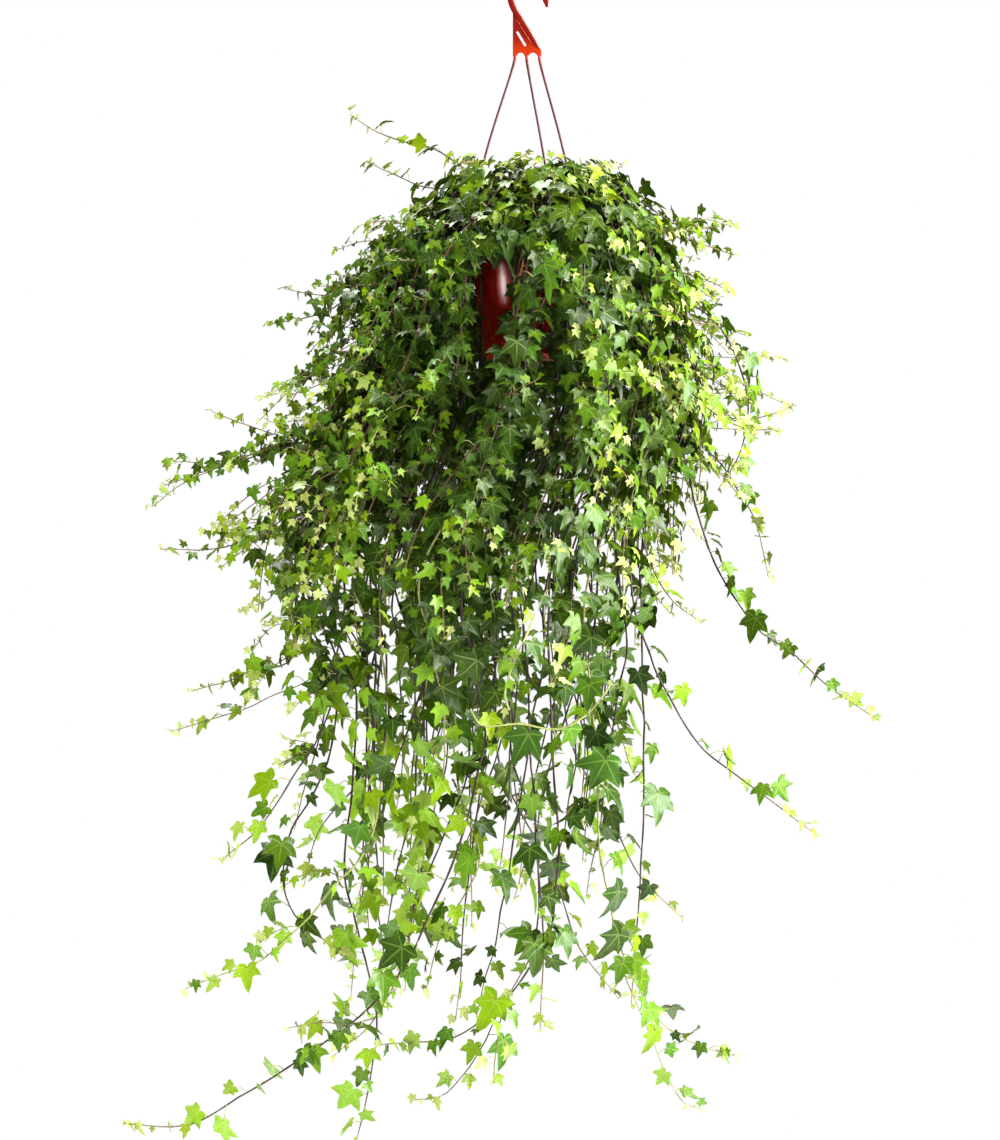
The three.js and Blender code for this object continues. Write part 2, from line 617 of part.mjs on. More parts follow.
// Draws a leaf at a place on its carrier, a few times over until it has room. Its stalk may pass through its
// own plant's core and vines. Its blade touches the carrier at most, and a cover leaf's also its own vines.
// `look` holds the size, the stalk's length, how far the blade faces up, how much it tumbles, and its side.
function growLeaf(plant, carrier, at, along, look, random) {
  const { size, stalkLength, tilt, tumble, side } = look;
  const foreign = (other) => other.owner !== plant || other.kind === 'leaf';
  const ownVine = (other) => look.covers && other.owner === plant && other.kind === 'vine';
  const notCarrier = (other) => other.body !== carrier && !ownVine(other);
  const spread = () => (random() - 0.5) * 2;
  const outwards = vec(at.x - POT_X - spreadAt(at.z)[0], at.y, 0).normalize();
  const lift = THREE.MathUtils.clamp((at.z - RIM_Z + 40) / 60, 0, 1);
  outwards.add(vec(0, 0, lift)).normalize();
  const across = new THREE.Vector3().crossVectors(along, outwards).normalize().multiplyScalar(side);
  const lobes = size > 0.72 * GROWN_LEAF ? FIVE_LOBES : THREE_LOBES;
  for (let attempt = 0; attempt < LEAF_TRIES; attempt += 1) {
    const stalk = across.clone().multiplyScalar(0.6 * tumble).addScaledVector(outwards, 0.7);
    stalk.add(vec(spread() * 0.3, spread() * 0.3, 0.15 + spread() * 0.2));
    stalk.normalize().multiplyScalar(stalkLength * (0.75 + 0.5 * random()));
    const normal = outwards.clone().add(vec(0, 0, tilt));
    normal.add(vec(spread(), spread(), 0.75 * spread()).multiplyScalar(0.4 * tumble)).normalize();
    const tip = across.clone().multiplyScalar((0.5 + spread() * 0.3) * tumble);
    tip.add(vec(0, 0, -0.9)).addScaledVector(outwards, 0.8 * lift);
    tip.addScaledVector(normal, -tip.dot(normal)).normalize();
    const wide = new THREE.Vector3().crossVectors(tip, normal);
    const joint = at.clone().add(stalk).addScaledVector(tip, 3);
    const frame = new THREE.Matrix4().makeBasis(wide, tip, normal).setPosition(joint);
    const notch = joint.clone().addScaledVector(tip, -2);
    const shape = { size, lobes, droop: 0.14 + 0.12 * random() };
    const wholeIsClear = isClear(leaf(at, frame, shape, 1), foreign);
    if (wholeIsClear && isClear(leaf(notch, frame, shape, 1), notCarrier)) {
      const grown = leaf(at, frame, shape, 0);
      keep(plant, 'leaf', grown);
      return [grown];
    }
  }
  return [];
}

// Large leaves that cover a core like shingles, each rooted just under the core's outer face
function coverLeaves(plant, pad) {
  const random = seeded(4000 + plant);
  const outer = CORE_ROWS.map(([[radius, z]]) => amongLeaves(plantAzimuth(plant), radius, z));
  const route = new THREE.CurvePath();
  outer.slice(1).forEach((place, k) => route.add(new THREE.LineCurve3(outer[k], place)));
  const length = route.getLength();
  const leaves = [];
  let side = plant % 2 ? 1 : -1;
  for (let at = 0.7 * COVER_STEP; at < length; at += COVER_STEP) {
    const place = route.getPointAt(at / length);
    const across = vec(-place.y, place.x - POT_X, 0).normalize();
    const radius = Math.hypot(place.x - POT_X, place.y);
    const aside = side * radius * 0.09 * (1 - at / length);
    const inwards = vec(POT_X - place.x, -place.y, -40).setLength(CORE_LUMP / 2);
    const root = place.addScaledVector(across, aside).add(inwards);
    const grown = THREE.MathUtils.clamp(at / (3 * COVER_STEP), 0, 1);
    const size = THREE.MathUtils.lerp(CROWN_LEAF, COVER_LEAF, grown) * (0.9 + 0.2 * random());
    const look = { size, stalkLength: 34, tilt: 0.55, tumble: 0.35, side, covers: true };
    leaves.push(...growLeaf(plant, pad, root, vec(0, 0, -1), look, random));
    side = -side;
  }
  return leaves;
}

// Sets a vine and its forks, and returns their joints for the leaves
function growVine(vine, number) {
  const { plant, tail, forks = [] } = vine;
  const routes = [[VINE_RADIUS, vineRoute(vine, seeded(2000 + number))]];
  forks.forEach((fork) => {
    const bend = [tail[fork.from], ...fork.tail].map(([x, y, z]) => vec(x, y, z));
    routes.push([FORK_RADIUS, bend]);
  });
  return routes.map(([radius, points]) => {
    const curve = new THREE.CatmullRomCurve3(points);
    const length = curve.getLength();
    const steps = Math.max(3, Math.round(length / VINE_STEP));
    const stem = tube(points, radius, VINE_SIDES, steps);
    keep(plant, 'vine', stem);
    return { plant, stem, joints: curve.getSpacedPoints(steps), length, fork: radius === FORK_RADIUS };
  });
}

// Leaves of a vine from its tip inwards, on alternate sides, small and close at the tip and larger further in
function vineLeaves({ plant, stem, joints, length, fork }, number) {
  const random = seeded(3000 + number);
  const stretches = joints.length - 1;
  const leaves = [];
  let side = number % 2 ? 1 : -1;
  let at = length - 12;
  while (at > (fork ? 20 : 60)) {
    const place = (at / length) * stretches;
    const stretch = Math.min(Math.floor(place), stretches - 1);
    const [low, high] = [joints[stretch], joints[stretch + 1]];
    const root = low.clone().lerp(high, THREE.MathUtils.clamp(place - stretch, 0.15, 0.85));
    const along = high.clone().sub(low).normalize();
    const age = THREE.MathUtils.clamp((length - at) / TIP_STRETCH, 0, 1);
    const size = THREE.MathUtils.lerp(TIP_LEAF, GROWN_LEAF, age) * (0.88 + 0.3 * random());
    const look = { size, stalkLength: 0.47 * size, tilt: 0.25, tumble: 1, side };
    leaves.push(...growLeaf(plant, stem, root, along, look, random));
    side = -side;
    at -= THREE.MathUtils.lerp(TIP_SPACING, LEAF_SPACING, age) * (0.75 + 0.5 * random());
  }
  return leaves;
}

// The space of the gap in the front leaves
function gapSpace() {
  const geometry = new THREE.CylinderGeometry(1, 1, GAP_BACK - GAP_FRONT, 8);
  geometry.scale(GAP_HALF_WIDTH, 1, GAP_HALF_HEIGHT);
  geometry.translate(GAP_X, (GAP_FRONT + GAP_BACK) / 2, GAP_Z);
  return solid(geometry);
}

const finish = (color, roughness) => new THREE.MeshStandardMaterial({ color, roughness, metalness: 0 });
const hangerPlastic = finish(0xd8380c, 0.35);
const potPlastic = finish(0xb23a1c, 0.3);
const pottingSoil = finish(0x33261c, 0.95);
const ivyGreen = finish(0x3f7a26, 0.45);

const made = { hanger: largest(hanger()), pot_shell: largest(pot()), soil: largest(soil()) };
Object.entries(made).forEach(([name, body]) => keep(name, 'made', body));
const frontGap = gapSpace();
keep('front gap', 'gap', frontGap);

// Pieces of each plant: its foot and core, then its vines, then the leaves
const rodSpace = join(LEG_X.map((x, index) => rod(index, ROD_RADIUS + 1.2)));
const plants = Array.from({ length: PLANT_COUNT }, (unused, plant) => {
  const pad = largest(core(plant, seeded(1000 + plant)).subtract(rodSpace).subtract(frontGap));
  keep(plant, 'core', pad);
  return [footPost(plant), pad];
});
const vines = VINES.flatMap(growVine);
vines.forEach(({ plant, stem }) => plants[plant].push(stem));
plants.forEach((pieces, plant) => pieces.push(...coverLeaves(plant, pieces[1])));
vines.forEach((vine, number) => plants[vine.plant].push(...vineLeaves(vine, number)));

const group = new THREE.Group();
group.add(namedMesh('hanger', made.hanger, hangerPlastic));
group.add(namedMesh('pot_shell', made.pot_shell, potPlastic));
group.add(namedMesh('soil', made.soil, pottingSoil));
plants.forEach((pieces, plant) => {
  const name = `ivy_plant_${String(plant + 1).padStart(2, '0')}`;
  group.add(namedMesh(name, largest(join(pieces)), ivyGreen));
});

export default group;
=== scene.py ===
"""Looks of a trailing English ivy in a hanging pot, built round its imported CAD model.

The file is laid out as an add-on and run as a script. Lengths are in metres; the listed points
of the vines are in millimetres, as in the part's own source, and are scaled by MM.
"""

import math

import bpy
import numpy as np
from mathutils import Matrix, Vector


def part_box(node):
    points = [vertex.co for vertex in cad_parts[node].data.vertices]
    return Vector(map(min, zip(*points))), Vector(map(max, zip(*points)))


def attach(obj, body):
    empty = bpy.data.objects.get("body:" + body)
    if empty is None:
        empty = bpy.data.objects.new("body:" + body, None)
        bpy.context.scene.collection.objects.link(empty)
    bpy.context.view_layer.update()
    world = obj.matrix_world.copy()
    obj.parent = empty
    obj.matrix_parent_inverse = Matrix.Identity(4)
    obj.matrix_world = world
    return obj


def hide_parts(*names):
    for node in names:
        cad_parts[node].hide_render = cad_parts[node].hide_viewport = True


bl_info = {
    "name": "Trailing ivy in a hanging pot",
    "version": (1, 0, 0),
    "blender": (4, 5, 0),
    "location": "3D View > Sidebar > Ivy",
    "description": "Builds the leaves, vines, pot and hanger of a trailing ivy",
    "category": "Object",
}

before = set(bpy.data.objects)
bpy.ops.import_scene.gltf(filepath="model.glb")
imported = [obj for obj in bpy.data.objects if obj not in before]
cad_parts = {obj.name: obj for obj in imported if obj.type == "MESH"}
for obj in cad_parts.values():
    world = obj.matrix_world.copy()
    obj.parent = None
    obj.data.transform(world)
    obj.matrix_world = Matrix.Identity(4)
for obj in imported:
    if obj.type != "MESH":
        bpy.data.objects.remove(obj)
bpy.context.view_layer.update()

MM = 0.001

# Places taken from the frame: the pot's axis, its rim and its base
POT_LOW, POT_HIGH = (np.array(corner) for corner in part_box("pot_shell"))
POT_X = (POT_LOW[0] + POT_HIGH[0]) / 2
RIM_Z = POT_HIGH[2]
RIM_RADIUS = (POT_HIGH[0] - POT_LOW[0]) / 2
POT_HEIGHT = POT_HIGH[2] - POT_LOW[2]

# Pot, soil and hanger, as in the part's source
BASE_RADIUS = 62 * MM
SHOULDER_RADIUS = 83 * MM
WALL = 2 * MM
SKIRT_HEIGHT = 26 * MM
SOIL_DROP = 13 * MM
LUG_RADIUS = 86.8 * MM
ROD_AZIMUTHS = (190, 70, 310)
ROD_RADIUS = 1.4 * MM
ROD_BEND = 3 * MM
LEG_X = (-16.5 * MM, -1.8 * MM, 14.2 * MM)
PLATE_BOTTOM = -96 * MM
HOOK_RADIUS = 22 * MM
HOOK_END_Z = -35.3 * MM

# The plants stand on a circle in the soil, one to each sector
PLANT_COUNT = 12
SECTOR = 360 / PLANT_COUNT
FIRST_AZIMUTH = 85
FOOT_CIRCLE = 58 * MM

# How far the foliage spreads from the pot's axis at each height: height, shift of its middle in X,
# radius (mm)
SPREAD = np.array([
    (-225, 0, 60), (-239, 0, 100), (-295, 0, 147), (-330, -3, 187), (-389, -15, 205), (-464, -19, 219),
    (-526, -18, 245), (-600, -45, 256), (-701, -95, 246), (-776, -110, 244), (-851, -84, 212),
    (-950, -76, 208), (-1300, -74, 186),
]) * MM
SPREAD_DEPTH = 0.87
HANG_HEIGHTS = np.array([-300, -370, -450, -540, -640, -750, -860, -970, -1080]) * MM

# The gap in the front leaves where the pot shows: three ovals, each by its middle in X and Z and
# its half width and half height (mm). Vines part round the first. A thin place to its left lets
# light on to the pot: it runs from the pot's wall in the given direction.
GAPS = np.array([(-46, -408, 20, 27), (-16, -385, 20, 13), (-49, -456, 7, 24)]) * MM
GAP_FRONT = -0.07
THIN_START = np.array([-39, -74, -390]) * MM
THIN_HEADING = np.array([-0.896, -0.419, -0.146])
THIN_RADIUS = 0.013
# How far leaves keep from the pot and its rods (m), and the share of a leaf's length that counts as
# its radius
POT_CLEARANCE = 0.006
ROD_CLEARANCE = 0.003
LEAF_RADIUS = 0.30

# Vines of each plant: plant, lean and low (degrees from the plant's azimuth), reach, until (mm),
# tail (mm), forks. A vine arches out of the crown and hangs on the spread until the given height;
# the tail's points follow. A fork grows from the numbered tail point.
VINES = (
    (0, -7, -5, 0.95, -1000, [(30, 150, -1120), (70, 170, -1230), (120, 185, -1300)], ()),
    (0, 9, 11, 1, -600, [(-60, 290, -690), (-65, 360, -745), (-70, 410, -770)], ()),
    (0, 1, 1, 0.88, -900, [], ()),
    (1, -6, -3, 0.9, -1080, [(-150, 130, -1200), (-190, 140, -1310), (-250, 150, -1370)], ()),
    (1, 8, 5, 1, -480, [(-160, 290, -560), (-190, 345, -600)], ()),
    (2, 5, 5, 0.8, -240, [(-125, 60, -255), (-165, 65, -240), (-205, 70, -220)], ()),
    (2, 11, 11, 0.95, -330, [(-225, 75, -385), (-265, 80, -390), (-310, 85, -380)], ()),
    (2, 7, 7, 0.95, -580,
     [(-300, 105, -680), (-345, 108, -695), (-395, 110, -708), (-472, 112, -712)], ()),
    (2, -5, -3, 0.9, -980, [(-270, 140, -1080), (-290, 150, -1150)], ()),
    (3, -3, -3, 0.8, -225, [(-110, -5, -218), (-160, -10, -203), (-195, -15, -189), (-222, -20, -172)], ()),
    (3, 3, 3, 0.95, -480,
     [(-245, -5, -560), (-296, -10, -584), (-352, -15, -602), (-400, -20, -617), (-453, -20, -634)], ()),
    (3, -5, -5, 0.95, -640, [(-318, 25, -765), (-361, 25, -790)], ()),
    (3, 8, 10, 0.9, -720, [(-292, -40, -848), (-356, -45, -870), (-417, -50, -889)], ()),
    (4, -8, -8, 0.95, -330, [(-235, -80, -415), (-280, -90, -431), (-319, -98, -440)], ()),
    (4, 2, 2, 0.95, -600, [(-323, -130, -700), (-372, -135, -735)], ()),
    (4, 7, 9, 0.95, -860, [(-277, -135, -978), (-322, -140, -1043), (-372, -145, -1090)], ()),
    (4, -3, 1, 0.95, -900,
     [(-262, -90, -1010), (-295, -100, -1070), (-300, -105, -1116), (-283, -105, -1163),
      (-242, -98, -1193), (-204, -92, -1219)], ()),
    (4, -12, -5, 0.8, -930,
     [(-225, -62, -1119), (-200, -65, -1217), (-189, -68, -1290), (-194, -72, -1356),
      (-210, -78, -1435), (-223, -80, -1469)],
     ((2, [(-224, -85, -1294), (-256, -98, -1290), (-295, -110, -1297)]),)),
    (5, 5, 1, 0.9, -930,
     [(-196, -168, -1074), (-250, -178, -1138), (-318, -182, -1201), (-362, -182, -1221),
      (-413, -178, -1241)], ()),
    (5, -8, -8, 0.92, -900, [], ()),
    (5, -2, -1, 1, -640, [(-210, -250, -720), (-240, -300, -770)], ()),
    (6, 8, 8, 0.85, -950,
     [(-90, -168, -1080), (-119, -176, -1150), (-155, -184, -1227), (-202, -190, -1270),
      (-273, -196, -1319), (-368, -200, -1380), (-415, -200, -1399), (-480, -200, -1397)], ()),
    (6, 12, -1, 0.98, -820, [], ()),
    (6, 6, 4, 0.7, -980, [(-118, -125, -1090), (-145, -130, -1180), (-162, -132, -1248)], ()),
    (6, -2, -4, 0.65, -1000, [(-60, -120, -1090), (-108, -125, -1188), (-126, -128, -1250)], ()),
    (6, 4, -7, 0.9, -980, [(-150, -150, -1060)], ()),
    (7, 8, 8, 0.95, -980,
     [(35, -125, -1103), (21, -127, -1193), (-29, -130, -1257), (-93, -140, -1304), (-179, -150, -1310)],
     ((2, [(-60, -110, -1321), (-105, -98, -1381), (-140, -95, -1384)]),
      (2, [(-38, -155, -1304), (-44, -170, -1353)]))),
    (7, -4, -4, 0.7, -960, [(13, -118, -1078), (2, -125, -1200), (-35, -130, -1272)], ()),
    (7, 2, -1, 0.9, -960, [(10, -175, -1080), (15, -180, -1180), (14, -180, -1290)], ()),
    (7, -7, -7, 1, -500, [(90, -285, -590), (115, -330, -640)], ()),
    (8, -1, -1, 0.95, -940,
     [(85, -95, -1065), (102, -95, -1165), (126, -95, -1234), (163, -97, -1291), (209, -100, -1318),
      (251, -100, -1331)],
     ((1, [(122, -112, -1243), (149, -125, -1311), (187, -135, -1382), (208, -135, -1389)]),)),
    (8, -8, -8, 0.95, -440, [(211, -145, -540), (260, -150, -568), (297, -152, -569)], ()),
    (8, 8, 8, 0.92, -640, [(170, -85, -770), (212, -90, -802)], ()),
    (9, -6, -6, 0.95, -720,
     [(150, -40, -850), (176, -48, -899), (211, -55, -954), (263, -60, -1000), (315, -65, -1036),
      (358, -68, -1066)], ()),
    (9, 2, 2, 0.92, -560,
     [(215, -12, -680), (238, -16, -741), (276, -20, -799), (325, -24, -841), (384, -26, -890),
      (436, -28, -926)], ()),
    (9, 7, 7, 0.88, -860, [(130, 5, -985), (156, 5, -1024)], ()),
    (9, -3, -3, 0.8, -250, [(139, -20, -279), (182, -25, -310), (222, -30, -326)], ()),
    (10, -5, -5, 0.95, -370,
     [(240, 75, -425), (268, 80, -470), (280, 82, -525), (271, 82, -586), (243, 80, -638)], ()),
    (10, 1, 1, 0.85, -250, [(158, 70, -285), (207, 82, -318), (265, 92, -336)], ()),
    (10, 6, 6, 1, -520, [(265, 170, -620), (300, 195, -680), (318, 208, -750)], ()),
    (11, -7, -7, 0.95, -960, [(110, 130, -1060), (150, 145, -1140), (200, 155, -1190)], ()),
    (11, 7, 7, 1, -430, [(140, 265, -480), (165, 320, -530)], ()),
)

# Bare pale shoots that cross the front of the curtain (mm)
PALE_ARCS = (
    [(8, -180, -790), (-8, -196, -822), (-21, -202, -850), (-30, -200, -884), (-24, -196, -905)],
    [(-70, -186, -905), (-56, -198, -924), (-11, -204, -923), (34, -204, -927), (64, -200, -914),
     (84, -196, -894), (96, -190, -876)],
)

# Half outline of a leaf: degrees from the middle lobe, distance from the stalk as a share of the
# leaf's length
LEAF_OUTLINE = (
    (0, 1.0), (10, 0.77), (27, 0.51), (40, 0.60), (52, 0.79), (66, 0.59), (84, 0.41), (98, 0.47),
    (112, 0.55), (134, 0.41), (158, 0.27), (180, 0.05),
)
# How much each of those points follows the middle, the side and the base lobe
LOBE_SHARES = (
    (1, 0, 0), (1, 0, 0), (0.5, 0.5, 0), (0, 1, 0), (0, 1, 0), (0, 1, 0), (0, 0.5, 0.5), (0, 0, 1),
    (0, 0, 1), (0, 0, 1), (0, 0, 1), (0, 0, 0),
)
LOBE_ANGLES = (0, 52, 112)
# Numbers of the five lobes' tips among the outline's points, and the outline's points round each
# lobe
LOBE_TIPS = (0, 4, 8, 14, 18)
LOBE_EDGES = (
    (-2, -1, 0, 1, 2), (2, 3, 4, 5, 6), (6, 7, 8, 9, 10), (-10, -9, -8, -7, -6), (-6, -5, -4, -3, -2),
)
LEAF_THICKNESS = 0.0006

# The vines' one random source starts from this number, each plant's leaf shapes from LEAF_SEED and
# its number
VINE_SEED = 14
LEAF_SEED = 500
SOIL_SEED = 5
PATH_STEP = 0.006
GOLDEN_SHARE = 0.618034

# Studio: the camera's height and place across, its angle as picture height over focal length in
# pixels, and the point that the lights face
PICTURE_HEIGHT = 1140
FOCAL_PIXELS = 3200
CAMERA_X, CAMERA_Z = -0.035, -0.739
LIGHTS_FACE = (POT_X, 0, -0.6)
FLOOR_HALF, FLOOR_Z = 1.6, -1.95
# Lights: name, setting that holds the power, place, size, colour, whether glossy surfaces mirror it
LIGHTS = (
    ("key_light", "key_power", (2.5, -1.3, 1.3), 1.5, (1.0, 1.0, 0.96), True),
    ("fill_light", "fill_power", (-2.90, -1.41, -0.86), 0.8, (1.0, 0.99, 0.92), False),
    ("back_light", "back_power", (-0.7, 1.3, 2.2), 1.6, (1.0, 1.0, 0.98), True),
    ("side_light", "side_power", (2.2, -0.3, -0.45), 1.2, (1.0, 1.0, 0.98), True),
    ("pot_shine", "shine_power", (-2.90, -1.41, -0.86), 0.5, (1.0, 0.98, 0.92), True),
)


class IvyLeafSettings(bpy.types.PropertyGroup):
    """Sizes and colours of the leaves."""

    grown_length: bpy.props.FloatProperty(
        name="Grown leaf", description="Length of a grown leaf", default=0.025, unit="LENGTH")
    tip_length: bpy.props.FloatProperty(
        name="Tip leaf", description="Length of the first leaf at a vine's tip",
        default=0.009, unit="LENGTH")
    spacing: bpy.props.FloatProperty(
        name="Leaf spacing", description="Distance between grown leaves on a vine", default=0.0183,
        unit="LENGTH")
    # Through the leaves' age value the dark colour also stands for painted shade (core, left, lower right).
    # The fresh and young colours also stand for painted light (crown, right, low down).
    dark: bpy.props.FloatVectorProperty(
        name="Oldest leaves", description="Colour of the oldest leaves", subtype="COLOR",
        default=(0.021, 0.050, 0.005))
    grown: bpy.props.FloatVectorProperty(
        name="Grown leaves", description="Colour of grown leaves", subtype="COLOR",
        default=(0.060, 0.138, 0.006))
    fresh: bpy.props.FloatVectorProperty(
        name="Fresh leaves", description="Colour of fresh leaves", subtype="COLOR",
        default=(0.182, 0.306, 0.010))
    young: bpy.props.FloatVectorProperty(
        name="Tip leaves", description="Colour of the leaves at the tips", subtype="COLOR",
        default=(0.420, 0.460, 0.165))
    vein: bpy.props.FloatVectorProperty(
        name="Veins", description="Colour of the veins", subtype="COLOR", default=(0.140, 0.190, 0.036))


class IvyVineSettings(bpy.types.PropertyGroup):
    """Number, thickness and colours of the vines."""

    hanging: bpy.props.IntProperty(
        name="Outer vines", description="Vines that cover the dome, besides those drawn by hand",
        default=86)
    curtain: bpy.props.IntProperty(
        name="Curtain vines", description="Long vines that hang inside the others", default=34)
    runners: bpy.props.IntProperty(
        name="Runners", description="Thin vines that slant over the dome", default=30)
    wisps: bpy.props.IntProperty(
        name="Wisps", description="Long thin shoots that fray the outline", default=70)
    shoots: bpy.props.IntProperty(
        name="Side shoots", description="Short shoots that stand out of the dome", default=360)
    crown: bpy.props.IntProperty(
        name="Crown shoots", description="Short shoots that fill the crown", default=90)
    base_radius: bpy.props.FloatProperty(
        name="Stem radius", description="Radius of a vine where it is oldest",
        default=0.0015, unit="LENGTH")
    tip_radius: bpy.props.FloatProperty(
        name="Tip radius", description="Radius of a vine at its tip", default=0.0006, unit="LENGTH")
    old: bpy.props.FloatVectorProperty(
        name="Old stem", description="Colour of old stems",
        subtype="COLOR", default=(0.050, 0.030, 0.026))
    young: bpy.props.FloatVectorProperty(
        name="Young stem", description="Colour of young stems", subtype="COLOR",
        default=(0.210, 0.085, 0.040))
    pale: bpy.props.FloatVectorProperty(
        name="Leaf stalk", description="Colour of leaf stalks",
        subtype="COLOR", default=(0.400, 0.430, 0.130))


class HangingPotSettings(bpy.types.PropertyGroup):
    """Colours of the pot, its hanger and the soil."""

    hanger: bpy.props.FloatVectorProperty(
        name="Hanger", description="Colour of the hanger's plastic", subtype="COLOR",
        default=(0.17, 0.006, 0.003))
    # Painted light: this is the brighter orange of the web's lit foot, where light shines through the
    # plastic. The highlight ribs and the rods' tops take it too.
    thin: bpy.props.FloatVectorProperty(
        name="Thin plastic", description="Colour of the web's foot, where light comes through",
        subtype="COLOR", default=(0.38, 0.024, 0.001))
    rod: bpy.props.FloatVectorProperty(
        name="Rods", description="Colour of the rods", subtype="COLOR", default=(0.10, 0.024, 0.026))
    pot: bpy.props.FloatVectorProperty(
        name="Pot", description="Colour of the pot's plastic",
        subtype="COLOR", default=(0.46, 0.014, 0.006))
    soil: bpy.props.FloatVectorProperty(
        name="Soil", description="Colour of the soil", subtype="COLOR", default=(0.035, 0.022, 0.014))


class StageSettings(bpy.types.PropertyGroup):
    """Camera, lights and floor."""

    camera_distance: bpy.props.FloatProperty(
        name="Camera distance", description="Distance of the camera from the pot's axis", default=4.0,
        unit="LENGTH")
    key_power: bpy.props.FloatProperty(
        name="Key light", description="Power of the light at the upper right",
        default=295.0, unit="POWER")
    fill_power: bpy.props.FloatProperty(
        name="Fill light", description="Power of the light at the left", default=108.0, unit="POWER")
    back_power: bpy.props.FloatProperty(
        name="Back light", description="Power of the light behind the plant",
        default=230.0, unit="POWER")
    side_power: bpy.props.FloatProperty(
        name="Side light", description="Power of the light at the right", default=115.0, unit="POWER")
    shine_power: bpy.props.FloatProperty(
        name="Pot shine", description="Power of the small light that shows in the pot's gloss only",
        default=47.0, unit="POWER")
    ambient: bpy.props.FloatProperty(
        name="Ambient", description="Strength of the light from all round", default=0.45)


def plant_azimuth(plant):
    return FIRST_AZIMUTH + SECTOR * plant


def unit(vectors):
    """Each row divided by its own length."""
    return vectors / np.maximum(np.linalg.norm(vectors, axis=-1, keepdims=True), 1e-12)


def ramp(value, start, length):
    """0 up to the start, 1 from one length past it on, and a straight line between."""
    return np.clip((value - start) / length, 0, 1)


def spread_at(z):
    """Shift and radius of the foliage at the heights z, in straight lines between the rows of
    SPREAD."""
    rising = SPREAD[::-1]
    return np.interp(z, rising[:, 0], rising[:, 1]), np.interp(z, rising[:, 0], rising[:, 2])


def depth_at(z):
    """The foliage is round at the rim and a little flatter from front to back 0.15 m below it."""
    return 1 + (SPREAD_DEPTH - 1) * ramp(RIM_Z - z, 0, 0.15)


def outwards_at(root):
    """Level direction away from the foliage's middle at a point."""
    shift, _ = spread_at(root[2])
    return unit(np.array([root[0] - POT_X - shift, root[1], 0.0]))


def plant_at(azimuth):
    """Number of the plant whose sector holds the azimuth."""
    return int(round((azimuth - FIRST_AZIMUTH) / SECTOR)) % PLANT_COUNT


def around_pot(azimuth, radius, z):
    turn = np.radians(azimuth)
    return np.array([POT_X + radius * np.cos(turn), radius * np.sin(turn), z])


def on_spread(azimuth, reach, z):
    """A point at a share of the foliage's radius, round its shifted middle."""
    shift, radius = spread_at(z)
    turn = np.radians(azimuth)
    return np.array([
        POT_X + shift + reach * radius * np.cos(turn),
        reach * radius * depth_at(z) * np.sin(turn),
        z,
    ])


def smooth_path(points, step):
    """A Catmull-Rom curve through the points: each stretch is a cubic whose slope at a point runs
    along the line between that point's neighbours, scaled by the root of the distances. It is cut
    at equal steps."""
    points = np.asarray(points, float)
    before = 2 * points[0] - points[1]
    after = 2 * points[-1] - points[-2]
    p0, p1 = np.vstack([before, points[:-2]]), points[:-1]
    p2, p3 = points[1:], np.vstack([points[2:], after])
    d0, d1, d2 = (np.maximum(np.linalg.norm(b - a, axis=1, keepdims=True) ** 0.5, 1e-6)
                  for a, b in ((p0, p1), (p1, p2), (p2, p3)))
    slope1 = ((p1 - p0) / d0 - (p2 - p0) / (d0 + d1) + (p2 - p1) / d1) * d1
    slope2 = ((p2 - p1) / d1 - (p3 - p1) / (d1 + d2) + (p3 - p2) / d2) * d1
    t = np.linspace(0, 1, 24, endpoint=False)[None, :, None]
    p1, p2, slope1, slope2 = (a[:, None, :] for a in (p1, p2, slope1, slope2))
    curve = ((2 * t**3 - 3 * t**2 + 1) * p1 + (t**3 - 2 * t**2 + t) * slope1
             + (3 * t**2 - 2 * t**3) * p2 + (t**3 - t**2) * slope2)
    fine = np.vstack([curve.reshape(-1, 3), points[-1]])
    along = np.concatenate([[0], np.cumsum(np.linalg.norm(np.diff(fine, axis=0), axis=1))])
    count = max(4, int(round(along[-1] / step)))
    places = np.linspace(0, along[-1], count + 1)
    return np.stack([np.interp(places, along, fine[:, k]) for k in range(3)], axis=1)


def gap_edge(points):
    """Where points lie beside the middle of a tall oval round the gap, the oval's half width at
    their height, and which of them are inside it, in front of the pot."""
    middle_x, middle_z, half_width, _ = GAPS[0]
    across, up = points[:, 0] - middle_x, points[:, 2] - middle_z + 0.028
    edge = 1.2 * half_width * np.sqrt(np.clip(1 - (up / 0.085) ** 2, 0, 1))
    return across, edge, (np.abs(across) < edge) & (points[:, 1] < GAP_FRONT)


def part_round_gap(points, room):
    """Bends a vine in front of the pot sideways out of the gap: its points inside the oval round
    the gap are moved at their own height to the oval's edge, or past it where `room` is over 1, all
    to the side where most of them are."""
    middle_x = GAPS[0, 0]
    points = points.copy()
    across, edge, inside = gap_edge(points)
    edge = edge * room
    if inside.any():
        side = 1 if across[inside].mean() > 0 else -1
        passed = inside | ((points[:, 1] < GAP_FRONT) & (across * side < edge) & (edge > 0))
        points[passed, 0] = middle_x + side * edge[passed]
    return points


